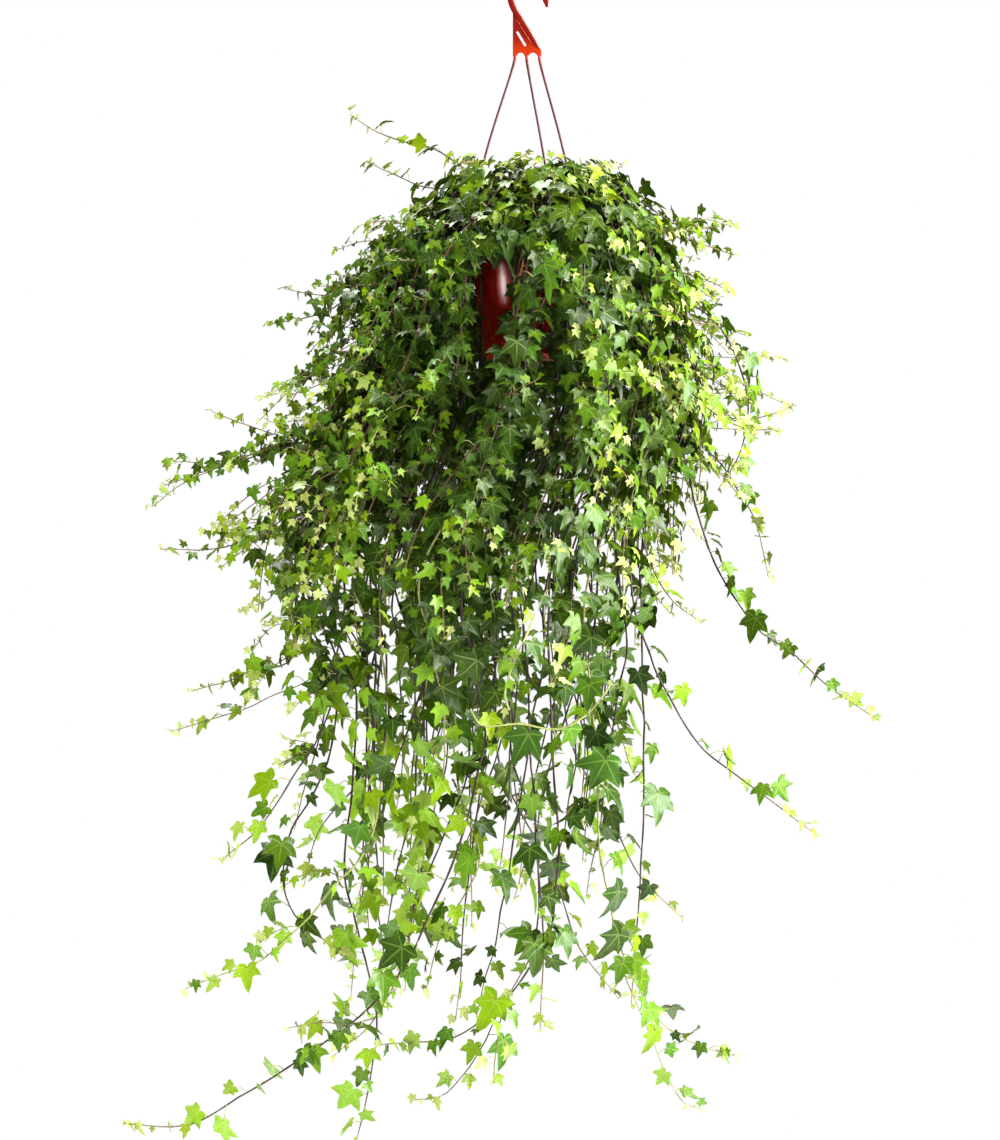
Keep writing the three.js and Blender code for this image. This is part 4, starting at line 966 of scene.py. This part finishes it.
def leaf_frames(vine, leaf):
    """For each leaf of a vine: where its stalk starts, where its blade starts, the blade's three
    directions, its length, age and tint. A blade faces outwards and up, or to the front where it
    stands far to a side, and its tip hangs down and to its side of the vine. Leaves grow with the
    distance from the tip; they are largest low down, with small ones among them, and smaller in the
    crown and on runners."""
    places, directions, to_tip, side, random = leaf_places(vine, leaf)
    count = len(places)
    up = np.array([0.0, 0.0, 1.0])
    x, z = places[:, 0], places[:, 2]
    shift, _ = spread_at(z)
    outwards = places * (1, 1, 0) - np.stack([POT_X + shift, 0 * shift, 0 * shift], axis=1)
    near_axis = np.clip(1 - np.linalg.norm(outwards, axis=1) / 0.05, 0, 1)[:, None]
    crown = ramp(z - RIM_Z, -0.03, 0.07)
    low_down = ramp(-z, 0.72, 0.3)
    left_side = ramp(-x, 0.12, 0.08) * (z > -0.85)
    crown_row, low_row = crown[:, None], low_down[:, None]
    outwards = unit(unit(outwards) * (1 - 0.7 * near_axis) + up * (0.65 * crown_row + 0.6 * near_axis))
    across = unit(np.cross(directions, outwards)) * side[:, None]

    grown = 1 - np.exp(-to_tip / (0.03 if vine["quick"] else 0.075))
    full = leaf.grown_length * (1 - 0.3 * vine["runner"] * (1 - 0.7 * low_down))
    full = full * (1 + 0.45 * low_down - 0.06 * left_side - 0.2 * crown)
    full = np.where(random.random(count) < 0.35 * low_down * (1 - 0.7 * vine["runner"]), 0.55, 1) * full
    length = (leaf.tip_length + (full - leaf.tip_length) * grown) * random.uniform(0.62, 1.3, count)

    wild = random.normal(0, 1, (count, 3))
    stalk = unit(0.55 * across + 0.62 * outwards + 0.28 * up + 0.25 * directions + 0.26 * wild)
    joint = places + stalk * (length * random.uniform(0.35, 0.85, count))[:, None]
    away = np.clip(np.abs(outwards[:, :1]) * low_row + (np.abs(places[:, :1] - POT_X) > 0.24), 0, 1)
    tumble = random.normal(0, 1, (count, 3)) * (0.48 + 0.25 * low_row + 0.1 * away)
    facing = outwards * (1 - 0.6 * away) - away * (0, 0.7, 0)
    normal = unit(facing + (0.42 - 0.2 * low_row) * up + tumble)
    hang = -0.95 * up * (1 - 0.5 * crown_row) + 0.9 * crown_row * outwards + 0.55 * across
    hang = hang + random.normal(0, 0.38, (count, 3)) + 0.25 * directions
    tip = unit(hang - np.sum(hang * normal, axis=1, keepdims=True) * normal)

    age = leaf_ages_and_painted_light(vine, places, to_tip, crown, low_down, left_side, random)
    # The tint rises low down and falls in the crown. Through the material's Value it lightens the low
    # leaves, part of their painted light, and darkens the crown's a little.
    tint = random.uniform(0, 1, count) * 0.75 + 0.25 * (vine["tone"] + low_down - crown)
    return {"root": places, "joint": joint, "wide": np.cross(tip, normal), "tip": tip, "normal": normal,
            "length": length, "age": age, "tint": np.clip(tint, 0, 1),
            "plant": np.full(count, vine["plant"])}


def has_room(leaves):
    """True for the leaves that keep clear of the gap in front of the pot, of the thin place beside
    it, of the rods and of the pot itself."""
    length = leaves["length"]
    middle = leaves["joint"] + 0.4 * length[:, None] * leaves["tip"]
    near_tip = middle + 0.5 * length[:, None] * leaves["tip"]
    margin = LEAF_RADIUS * length
    clear = np.ones(len(middle), bool)
    for middle_x, middle_z, half_width, half_height in GAPS:
        for point, room in ((middle, margin), (near_tip, 0.0)):
            across = (point[:, 0] - middle_x) / (half_width + room)
            up = (point[:, 2] - middle_z) / (half_height + room)
            clear &= (across**2 + up**2 > 1) | (point[:, 1] > GAP_FRONT)
    from_pot = middle - THIN_START
    ahead = from_pot @ THIN_HEADING
    aside = np.linalg.norm(from_pot - ahead[:, None] * THIN_HEADING, axis=1)
    clear &= (aside > THIN_RADIUS + margin) | (ahead < 0)
    for leg_x, azimuth in zip(LEG_X, ROD_AZIMUTHS):
        top = np.array([leg_x, 0, PLATE_BOTTOM])
        rod = unit(around_pot(azimuth, LUG_RADIUS, RIM_Z) - top)
        from_top = middle - top
        off = np.linalg.norm(from_top - (from_top @ rod)[:, None] * rod, axis=1)
        clear &= (off > margin + ROD_CLEARANCE) | (middle[:, 2] < RIM_Z)
    radius = np.hypot(middle[:, 0] - POT_X, middle[:, 1])
    beside_pot = (middle[:, 2] < RIM_Z + 0.004) & (middle[:, 2] > RIM_Z - POT_HEIGHT)
    return clear & ~((radius < RIM_RADIUS + POT_CLEARANCE) & beside_pot)


def leaf_faces(rim, inside):
    """Three-cornered faces of one blade: its upper side, and its lower side turned over. Points are
    numbered round the outline, then the middles of the five lobes and the stalk's end, above and
    then below."""
    faces = []
    for lobe, edge in enumerate(LOBE_EDGES):
        faces += [(rim + lobe, b % rim, a % rim) for a, b in zip(edge[:-1], edge[1:])]
    centre = rim + inside - 1
    for lobe, notch, following in ((0, 2, 1), (1, 6, 2), (4, rim - 2, 0), (3, rim - 6, 4)):
        faces += [(centre, notch, rim + lobe), (centre, rim + following, notch)]
    faces += [(centre, 10, rim + 2), (centre, 11, 10), (centre, 12, 11), (centre, rim + 3, 12)]
    upper = np.array(faces)
    return np.vstack([upper, np.where(upper >= rim, upper + inside, upper)[:, ::-1]])


def leaf_shell(leaves, random):
    """Closed blades of all the leaves at once. A blade's outline is given by LEAF_OUTLINE in polar
    form round the end of its stalk, each lobe stretched by its own share; the middle of each lobe
    lies on its vein, half way to its tip. Height over the leaf's plane is a droop that grows with
    the square of the distance, a fold along the middle vein, a twist, a wave round the outline and
    a slight rise of the flesh between the veins. The lower face differs at the inner points by the
    thickness."""
    count = len(leaves["length"])
    half, shares = np.array(LEAF_OUTLINE, float), np.array(LOBE_SHARES, float)
    angle = np.radians(np.concatenate([half[:, 0], -half[-2:0:-1, 0]]))
    reach = np.concatenate([half[:, 1], half[-2:0:-1, 1]])
    share = np.vstack([shares, shares[-2:0:-1]])
    age = leaves["age"][:, None]
    lobes = np.stack([
        random.uniform(0.90, 1.12, count),
        random.uniform(0.80, 1.12, count) * (1 - 0.12 * leaves["age"]),
        random.uniform(0.70, 1.10, count) * (1 - 0.30 * leaves["age"]),
    ], axis=1)
    outer = reach * (1 + (lobes @ share.T - share.sum(axis=1)))
    middle, side, base = LOBE_ANGLES
    lobe_angles = np.radians(np.array([middle, side, base, -base, -side]))
    rim, inside = len(angle), len(lobe_angles) + 1
    angles = np.concatenate([angle, lobe_angles, [0]])
    distance = np.concatenate([outer, 0.5 * outer[:, LOBE_TIPS], np.zeros((count, 1))], axis=1)
    width = random.uniform(0.90, 1.10, (count, 1))
    x = distance * np.sin(angles) * width
    y = distance * np.cos(angles)
    droop = random.uniform(0.02, 0.30, (count, 1)) + 0.1 * (1 - age)
    fold = random.uniform(-0.10, 0.26, (count, 1)) + 0.25 * age
    twist = random.normal(0, 0.16, (count, 1))
    phase = random.uniform(0, 2 * np.pi, (count, 1))
    wave = random.uniform(0.0, 0.055, (count, 1)) * np.sin(3 * angles + phase)
    number = np.arange(len(angles))
    flesh = np.where(np.isin(number, LOBE_TIPS) | (number >= rim), 0, 0.045)
    z = (-droop * distance**2 + fold * np.abs(x) * (1 - 0.5 * distance)
         + twist * x * y + wave * distance + flesh)
    z = z - z[:, -1:]
    size = leaves["length"][:, None]
    points = leaves["joint"][:, None, :]
    for height, direction in ((x, "wide"), (y, "tip"), (z, "normal")):
        points = points + (height * size)[..., None] * leaves[direction][:, None, :]
    lower = points[:, rim:] - LEAF_THICKNESS * leaves["normal"][:, None, :]
    vertices = np.concatenate([points, lower], axis=1)
    each = rim + 2 * inside
    triangles = (np.arange(count)[:, None, None] * each + leaf_faces(rim, inside)[None]).reshape(-1, 3)
    flat_uv = np.stack([0.5 + 0.5 * distance * np.sin(angles),
                        0.3 + 0.5 * distance * np.cos(angles)], axis=-1)
    uv = np.concatenate([flat_uv, flat_uv[:, rim:]], axis=1)
    under = np.tile(np.concatenate([np.zeros(rim + inside), np.ones(inside)]), count)
    per_vertex = {key: np.repeat(leaves[key], each) for key in ("age", "tint")}
    return vertices.reshape(-1, 3), triangles, uv.reshape(-1, 2), under, per_vertex


def stalk_tubes(leaves):
    """Three-sided stalks of all the leaves at once: each follows a bend from its node on the vine,
    first outwards and then to the blade, and is thicker at its foot."""
    count, rows, sides = len(leaves["length"]), 3, 3
    t = np.linspace(0, 1, rows)[None, :, None]
    start, end = leaves["root"][:, None, :], leaves["joint"][:, None, :]
    bend = np.array([0, 0, 1.0]) * 0.16 * np.linalg.norm(end - start, axis=2, keepdims=True)
    path = start + (end - start) * t + bend * 4 * t * (1 - t)
    path[:, -1] -= LEAF_THICKNESS / 2 * leaves["normal"]
    ahead = unit(np.gradient(path, axis=1))
    first = unit(np.cross(ahead, leaves["wide"][:, None, :] + 0.01))
    second = np.cross(ahead, first)
    radius = (0.00034 + 0.008 * leaves["length"])[:, None] * np.linspace(1.25, 0.85, rows)[None, :]
    turn = 2 * np.pi * np.arange(sides) / sides
    cosine, sine = np.cos(turn)[None, None, :, None], np.sin(turn)[None, None, :, None]
    rings = (path[:, :, None, :] + radius[:, :, None, None]
             * (cosine * first[:, :, None, :] + sine * second[:, :, None, :]))
    each = rows * sides
    ends = np.array([[0, 2, 1], [each - 3, each - 2, each - 1]])
    offsets = np.arange(count)[:, None, None] * each
    quads, triangles = ((offsets + faces[None]).reshape(-1, faces.shape[1])
                        for faces in (ring_faces(rows, sides), ends))
    return ((rings.reshape(-1, 3), quads, triangles),
            np.repeat(0.5 + 0.4 * leaves["age"], each), np.repeat(0.78 + 0.12 * leaves["tint"], each))


class IVY_OT_stage(bpy.types.Operator):
    """Adds the camera, the soft studio lights and the pale floor."""

    bl_idname = "ivy.stage"
    bl_label = "Studio"

    def execute(self, context):
        stage, scene = context.scene.ivy_stage, context.scene
        scene.view_settings.view_transform = "Standard"
        scene.view_settings.look = "None"
        camera = bpy.data.cameras.new("camera")
        camera.sensor_fit = "VERTICAL"
        camera.angle = 2 * math.atan(PICTURE_HEIGHT / 2 / FOCAL_PIXELS)
        camera.clip_end = 50
        view = bpy.data.objects.new("camera", camera)
        view.location = (CAMERA_X, -stage.camera_distance, CAMERA_Z)
        view.rotation_euler = (math.pi / 2, 0, 0)
        scene.collection.objects.link(view)
        scene.camera = view
        for name, power, place, size, colour, glossy in LIGHTS:
            self.light(scene, name, place, size, getattr(stage, power), colour, glossy)
        bpy.data.objects["pot_shine"].visible_diffuse = False
        scene.world = self.studio_world(stage.ambient)
        half, drop = FLOOR_HALF, FLOOR_Z
        corners = [(-half, -half, drop), (half, -half, drop), (half, half, drop), (-half, half, drop)]
        floor = bpy.data.objects.new("floor", make_mesh("floor", corners, quads=[(0, 1, 2, 3)]))
        paper = Nodes("pale_floor")
        shade = paper.mix(
            paper.steps(paper.noise(scale=3.0), 0.3, 0.8), (0.80, 0.80, 0.79), (0.86, 0.86, 0.85))
        floor.data.materials.append(paper.finish(Base_Color=shade, Roughness=0.85))
        scene.collection.objects.link(floor)
        return {"FINISHED"}

    @staticmethod
    def studio_world(ambient):
        """White light from all round: full where the camera looks past the plant, soft on the
        plant, and softer still in what glossy surfaces mirror."""
        world = bpy.data.worlds.new("studio")
        world.use_nodes = True
        nodes, links = world.node_tree.nodes, world.node_tree.links
        ray = nodes.new("ShaderNodeLightPath")
        soft = nodes.new("ShaderNodeMapRange")
        soft.inputs["To Min"].default_value = ambient
        soft.inputs["To Max"].default_value = 0.12 * ambient
        links.new(ray.outputs["Is Glossy Ray"], soft.inputs["Value"])
        strength = nodes.new("ShaderNodeMapRange")
        links.new(soft.outputs["Result"], strength.inputs["To Min"])
        links.new(ray.outputs["Is Camera Ray"], strength.inputs["Value"])
        links.new(strength.outputs["Result"], nodes["Background"].inputs["Strength"])
        nodes["Background"].inputs["Color"].default_value = (1, 1, 1, 1)
        return world

    @staticmethod
    def light(scene, name, place, size, power, colour, glossy):
        """A square area light that faces the middle of the plant."""
        lamp = bpy.data.lights.new(name, "AREA")
        lamp.shape, lamp.size, lamp.energy, lamp.color = "SQUARE", size, power, colour
        holder = bpy.data.objects.new(name, lamp)
        holder.location = place
        holder.visible_glossy = glossy
        heading = Vector(LIGHTS_FACE) - Vector(place)
        holder.rotation_euler = heading.to_track_quat("-Z", "Y").to_euler()
        scene.collection.objects.link(holder)


class IVY_OT_hanger(bpy.types.Operator):
    """Builds the hook with its bar, the fan-shaped web and the three rods."""

    bl_idname = "ivy.hanger"
    bl_label = "Hanger"

    def execute(self, context):
        settings = context.scene.ivy_pot
        plastic = plastic_material("hanger_plastic", settings.hanger, 0.22, 0.22)
        # Painted light: below its middle the web turns to the brighter orange of its lit foot.
        web_plastic = plastic_material(
            "hanger_web_plastic", settings.hanger, 0.3, 0.18, settings.thin, -70 * MM, 24 * MM)
        # Painted highlight: the two ribs along the bar's inner edge are in the brighter orange of the lit
        # web foot.
        rib_highlight_plastic = plastic_material("hanger_rib_plastic", settings.thin, 0.25, 0.3)
        # Painted light: the rods' tops inside the legs take the web foot's lit orange and turn to the
        # darker rod colour below.
        rod_plastic = plastic_material(
            "hanger_rod_plastic", settings.thin, 0.3, 0.2, settings.rod, PLATE_BOTTOM + 5 * MM, 18 * MM)
        vertices, quads, triangles = self.hook_bar()
        mesh = make_mesh("hanger_hook", vertices, quads, triangles)
        add_piece("hanger_hook", mesh, plastic, "hanger_plastic", "hanger", sharp=50)
        add_piece("hanger_web", self.web(), web_plastic, "hanger_plastic", "hanger", sharp=40)
        ribs = []
        for y in (-1.3, 1.3):
            points = np.array([(-14.4, y, -51), (-9.7, y, -58.6), (-0.3, y, -73.9), (3.8, y, -80.5)]) * MM
            ribs.append(sweep(points, round_profile(8, 0.8 * MM), 1.0))
        mesh = make_mesh("hanger_rib", *join_parts(ribs))
        add_piece("hanger_rib", mesh, rib_highlight_plastic, "hanger_plastic", "hanger", sharp=60)
        for index, azimuth in enumerate(ROD_AZIMUTHS):
            mesh = make_mesh(f"hanger_rod_{index + 1}", *self.rod(index, azimuth))
            add_piece(f"hanger_rod_{index + 1}", mesh, rod_plastic, "hanger_plastic", "hanger", sharp=50)
        return {"FINISHED"}

    @staticmethod
    def hook_bar():
        """A rounded box section up the hook's straight end, round its arc and down the slanting
        bar. The end narrows on its inner side to a tip, and the bar grows thinner downwards."""
        arc_z = -18 * MM
        rise = np.linspace(0, 1, 14, endpoint=False)
        cut_share = np.clip(1 - rise / 0.55, 0, 1)
        end = np.stack([HOOK_RADIUS + 0.6 * (3.1 * MM * cut_share), 0 * rise,
                        HOOK_END_Z + (arc_z - HOOK_END_Z) * rise], axis=1)
        turn = np.radians(np.linspace(0, 180, 36))
        arc = np.stack([HOOK_RADIUS * np.cos(turn), 0 * turn, arc_z + HOOK_RADIUS * np.sin(turn)], axis=1)
        bend = smooth_path(np.array([
            arc[-1], (-21.3 * MM, 0, -28 * MM), (-16.5 * MM, 0, -40 * MM), (-8 * MM, 0, -53.5 * MM),
            (4.5 * MM, 0, -74 * MM), (14.4 * MM, 0, -90.5 * MM)]), 1.6 * MM)[1:]
        path = np.vstack([end, arc, bend])
        share = np.linspace(0, 1, len(path))
        scale = 1 - 0.2 * ramp(share, 0.5, 0.4) - 0.42 * ramp(share, 0.9, 0.1)
        scale[:len(rise)] = 1 - 0.62 * cut_share
        return sweep(path, box_profile(3 * MM, 4 * MM, 3.4, 24), scale)

    @staticmethod
    def web():
        """The flat web: its outline and its slanting slot as curves, filled, thickened and
        bevelled."""
        left, middle, right = LEG_X
        leg, foot = ROD_RADIUS + 0.5 * MM, PLATE_BOTTOM
        edge = -18.5 * MM

        def arch_between(a, b):
            share = np.linspace(0, 1, 12)
            return [(a + (b - a) * t, foot + 4.3 * MM * math.sin(math.pi * t) ** 0.7) for t in share]

        outline = ([(edge, -44 * MM), (edge, foot)] + arch_between(left + leg, middle - leg)
                   + arch_between(middle + leg, right - leg)
                   + [(right + leg, foot), (right + leg, -89 * MM), (12 * MM, -84 * MM),
                      (-15 * MM, -42 * MM)])
        slant = math.atan2(-16, 9.5)
        slot = []
        for centre, start in (((-3.6 * MM, -83 * MM), -math.pi / 2), ((-13.1 * MM, -67 * MM), math.pi / 2)):
            for turn in np.linspace(start, start + math.pi, 10) + slant:
                slot.append((centre[0] + 2.0 * MM * math.cos(turn), centre[1] + 2.0 * MM * math.sin(turn)))
        curve = bpy.data.curves.new("web", "CURVE")
        curve.dimensions, curve.fill_mode = "2D", "BOTH"
        curve.extrude, curve.bevel_depth, curve.bevel_resolution = 0.9 * MM, 0.5 * MM, 2
        for points in (outline, slot):
            spline = curve.splines.new("POLY")
            spline.points.add(len(points) - 1)
            spline.points.foreach_set("co", np.array([(x, z, 0, 1) for x, z in points]).ravel())
            spline.use_cyclic_u = True
        holder = bpy.data.objects.new("web", curve)
        bpy.context.scene.collection.objects.link(holder)
        mesh = bpy.data.meshes.new_from_object(holder.evaluated_get(bpy.context.evaluated_depsgraph_get()))
        bpy.data.objects.remove(holder)
        places = np.zeros(len(mesh.vertices) * 3)
        mesh.vertices.foreach_get("co", places)
        places = places.reshape(-1, 3)[:, [0, 2, 1]] * (1, -1, 1)
        mesh.vertices.foreach_set("co", places.ravel())
        mesh.update()
        return mesh

    @staticmethod
    def rod(index, azimuth):
        """A round rod from inside its leg to the rim, thickest at the leg's foot, with a barb below
        the flange."""
        neck = np.array([LEG_X[index], 0, PLATE_BOTTOM - 4 * MM])
        elbow = around_pot(azimuth, LUG_RADIUS - 1 * MM, RIM_Z + 8 * MM)
        foot = around_pot(azimuth, LUG_RADIUS, RIM_Z - 10 * MM)
        outwards = unit(elbow - np.array([POT_X, 0, elbow[2]]))
        middle = (neck + elbow) / 2 + ROD_BEND * outwards
        inside_leg = [neck + (0, 0, 10 * MM), neck + (0, 0, 5 * MM), neck]
        path = smooth_path([*inside_leg, middle, elbow, foot], 1.6 * MM)
        above = path[:, 2] - PLATE_BOTTOM
        sleeve = 1 + np.interp(above, [-30 * MM, -3 * MM, 0, 6 * MM], [0, 0.3, 0.2, -0.4])
        low = (RIM_Z - 2.9 * MM) - path[:, 2]
        barb = np.where((low > 0) & (low < 8 * MM), 3.1 / 1.4 - 1.4 * low / (8 * MM), 1.0)
        return sweep(path, round_profile(14), ROD_RADIUS * sleeve * np.maximum(barb, 0.7), up=(0.2, 1, 0.1))


class IVY_OT_pot(bpy.types.Operator):
    """Builds the plastic pot with its rim and the soil in it."""

    bl_idname = "ivy.pot"
    bl_label = "Pot and soil"

    def execute(self, context):
        settings = context.scene.ivy_pot
        plastic = plastic_material("pot_plastic", settings.pot, 0.2, 0.5)
        piece = add_piece("pot", self.pot_mesh(), plastic, "pot_plastic", "pot_shell", sharp=45)
        lit = bpy.data.collections.new("lit_by_pot_shine")
        lit.objects.link(piece)
        if "pot_shine" in bpy.data.objects:
            bpy.data.objects["pot_shine"].light_linking.receiver_collection = lit
        self.cut_holes(piece)
        mesh = self.soil_mesh(np.random.default_rng(SOIL_SEED))
        add_piece("soil_surface", mesh, soil_material(settings.soil), "potting_soil", "soil", sharp=60)
        return {"FINISHED"}

    @staticmethod
    def pot_mesh():
        """The pot's wall turned round its axis: down the outside with a step under the rim, a foot
        ring, the floor, and up the inside. Rounded corners are quarter arcs."""
        def corner(r, z, size, start, stop):
            turn = np.radians(np.linspace(start, stop, 5))
            return [(r + size * math.cos(a), z + size * math.sin(a)) for a in turn]

        skirt, wall, base, drop = RIM_RADIUS, WALL, BASE_RADIUS, -POT_HEIGHT
        inside = SHOULDER_RADIUS - wall
        shape = ([(0, drop + 1.5 * MM), (base - 9 * MM, drop + 1.5 * MM), (base - 8 * MM, drop)]
                 + corner(base - 3 * MM, drop + 3 * MM, 3 * MM, -90, 0)
                 + [(base + (SHOULDER_RADIUS - base) * t, drop + 3 * MM + (POT_HEIGHT - 6 * MM) * t)
                    for t in np.linspace(0.1, 0.995, 12)]
                 + [(skirt - wall, -wall - 0.5 * MM), (skirt - wall, -SKIRT_HEIGHT + 0.6 * MM)]
                 + corner(skirt - 0.9 * MM, -SKIRT_HEIGHT + 0.9 * MM, 0.9 * MM, 200, 360)
                 + corner(skirt - 1.6 * MM, -1.6 * MM, 1.6 * MM, 0, 90)
                 + corner(inside + 1.6 * MM, -1.6 * MM, 1.6 * MM, 90, 180)
                 + [(inside, -6 * MM), (base - wall, drop + 5 * MM), (base - 5 * MM, drop + 3.5 * MM),
                    (0, drop + 3.5 * MM)])
        sides = 96
        rings = lathe(shape[1:-1], sides, (POT_X, 0, RIM_Z))
        low, high = (np.array([POT_X, 0, RIM_Z + shape[k][1]]) for k in (0, -1))
        rows = len(rings)
        vertices = np.vstack([rings.reshape(-1, 3), low, high])
        triangles = np.vstack([
            fan_faces(rows * sides, 0, sides)[:, [0, 2, 1]],
            fan_faces(rows * sides + 1, (rows - 1) * sides, sides)])
        return make_mesh("pot", vertices, ring_faces(rows, sides), triangles)

    @staticmethod
    def cut_holes(piece):
        """Cuts the drain holes and the rods' holes out of the pot."""
        parts = []
        for number in range(5):
            x, y, _ = around_pot(72 * number, 44 * MM, 0)
            parts.append(((x, y), POT_LOW[2] - 5 * MM, POT_LOW[2] + 8 * MM, 4 * MM))
        for azimuth in ROD_AZIMUTHS:
            x, y, _ = around_pot(azimuth, LUG_RADIUS, 0)
            parts.append(((x, y), RIM_Z - 5 * MM, RIM_Z + 5 * MM, 2.4 * MM))
        pins = [sweep([(x, y, low), (x, y, (low + high) / 2), (x, y, high)], round_profile(20), radius)
                for (x, y), low, high, radius in parts]
        cutter = bpy.data.objects.new("pins", make_mesh("pins", *join_parts(pins)))
        bpy.context.scene.collection.objects.link(cutter)
        cut = piece.modifiers.new("holes", "BOOLEAN")
        cut.operation, cut.solver, cut.object = "DIFFERENCE", "EXACT", cutter
        bpy.context.view_layer.update()
        mesh = bpy.data.meshes.new_from_object(piece.evaluated_get(bpy.context.evaluated_depsgraph_get()))
        piece.modifiers.remove(cut)
        piece.data = mesh
        bpy.data.objects.remove(cutter)

    @staticmethod
    def soil_mesh(random):
        """A mound of soil on a polar grid: its height falls with the square of the distance from
        the middle and is roughened by sums of sines with random directions; a shallow skirt and a
        flat underside close it."""
        rings_count, sides = 34, 110
        radius = np.linspace(0.02, 1, rings_count) * (SHOULDER_RADIUS - WALL - 2.2 * MM)
        turn = 2 * np.pi * np.arange(sides) / sides
        x, y = (radius[:, None] * f(turn)[None, :] for f in (np.cos, np.sin))
        mound, depth, level = 5 * MM, 12 * MM, RIM_Z - SOIL_DROP
        height = mound * (1 - (radius[:, None] / radius[-1]) ** 2) + 0 * x
        for _ in range(26):
            wave, heading, phase = (random.uniform(low, high)
                                    for low, high in ((200, 2200), (0, 6.3), (0, 6.3)))
            ahead = x * math.cos(heading) + y * math.sin(heading)
            height = height + 0.16 / wave * np.sin(wave * ahead + phase)
        top = np.stack([POT_X + x, y, level + height], axis=-1)
        under = top[-1] * (1, 1, 0) + (0, 0, level - depth)
        vertices = np.vstack([
            top.reshape(-1, 3), under, [(POT_X, 0, level + mound), (POT_X, 0, level - depth)]])
        last = rings_count * sides
        triangles = np.vstack([
            fan_faces(last + sides, 0, sides),
            fan_faces(last + sides + 1, last, sides)[:, [0, 2, 1]]])
        quads = ring_faces(rings_count + 1, sides)[:, [1, 0, 3, 2]]
        return make_mesh("soil", vertices, quads, triangles)


class IVY_OT_vines(bpy.types.Operator):
    """Builds the stems of all vines with the stalks of their leaves, and the leaves, a pair for
    each plant."""

    bl_idname = "ivy.vines"
    bl_label = "Vines and leaves"

    def execute(self, context):
        leaf, vine = context.scene.ivy_leaf, context.scene.ivy_vine
        leaf_look, stem_look = leaf_material(leaf), stem_material(vine)
        vines = grow_vines(vine)
        leaves = [leaf_frames(each, leaf) for each in vines]
        leaves = {key: np.concatenate([each[key] for each in leaves]) for key in leaves[0]}
        kept = has_room(leaves)
        leaves = {key: values[kept] for key, values in leaves.items()}
        for plant in range(PLANT_COUNT):
            own = {key: values[leaves["plant"] == plant] for key, values in leaves.items()}
            number = f"{plant + 1:02d}"
            node = "ivy_plant_" + number
            grown = [each for each in vines if each["plant"] == plant]
            self.stems("ivy_stems_" + number, grown, own, stem_look, node)
            random = np.random.default_rng(LEAF_SEED + plant)
            vertices, triangles, uv, under, values = leaf_shell(own, random)
            mesh = make_mesh("ivy_leaves_" + number, vertices, triangles=triangles)
            add_uv(mesh, uv)
            add_values(mesh, under=under, **values)
            add_piece("ivy_leaves_" + number, mesh, leaf_look, "ivy_foliage", node, sharp=75)
        return {"FINISHED"}

    @staticmethod
    def stems(name, vines, leaves, look, node):
        """One piece with the stems and leaf stalks of a plant."""
        tubes = [vine_tube(each) for each in vines] + [stalk_tubes(leaves)]
        parts, ages, pales = zip(*tubes)
        mesh = make_mesh(name, *join_parts(parts))
        add_values(mesh, age=np.concatenate(ages), pale=np.concatenate(pales))
        add_piece(name, mesh, look, "ivy_foliage", node, sharp=80)


class IVY_PT_panel(bpy.types.Panel):
    """Lists the pieces of the ivy and their settings."""

    bl_idname = "IVY_PT_panel"
    bl_label = "Trailing ivy"
    bl_space_type = "VIEW_3D"
    bl_region_type = "UI"
    bl_category = "Ivy"

    def draw(self, context):
        for operator in OPERATORS:
            self.layout.operator(operator.bl_idname)
        for name, group in SETTINGS.items():
            box = self.layout.box()
            for key in group.__annotations__:
                box.prop(getattr(context.scene, name), key)


SETTINGS = {
    "ivy_leaf": IvyLeafSettings,
    "ivy_vine": IvyVineSettings,
    "ivy_pot": HangingPotSettings,
    "ivy_stage": StageSettings,
}
OPERATORS = (IVY_OT_stage, IVY_OT_hanger, IVY_OT_pot, IVY_OT_vines)


def register():
    for group in (*SETTINGS.values(), *OPERATORS, IVY_PT_panel):
        bpy.utils.register_class(group)
    for name, group in SETTINGS.items():
        setattr(bpy.types.Scene, name, bpy.props.PointerProperty(type=group))


def unregister():
    for name in SETTINGS:
        delattr(bpy.types.Scene, name)
    for group in (IVY_PT_panel, *OPERATORS, *SETTINGS.values()):
        bpy.utils.unregister_class(group)


def main():
    register()
    bpy.ops.ivy.stage()
    bpy.ops.ivy.hanger()
    bpy.ops.ivy.pot()
    bpy.ops.ivy.vines()


if __name__ == "__main__":
    main()
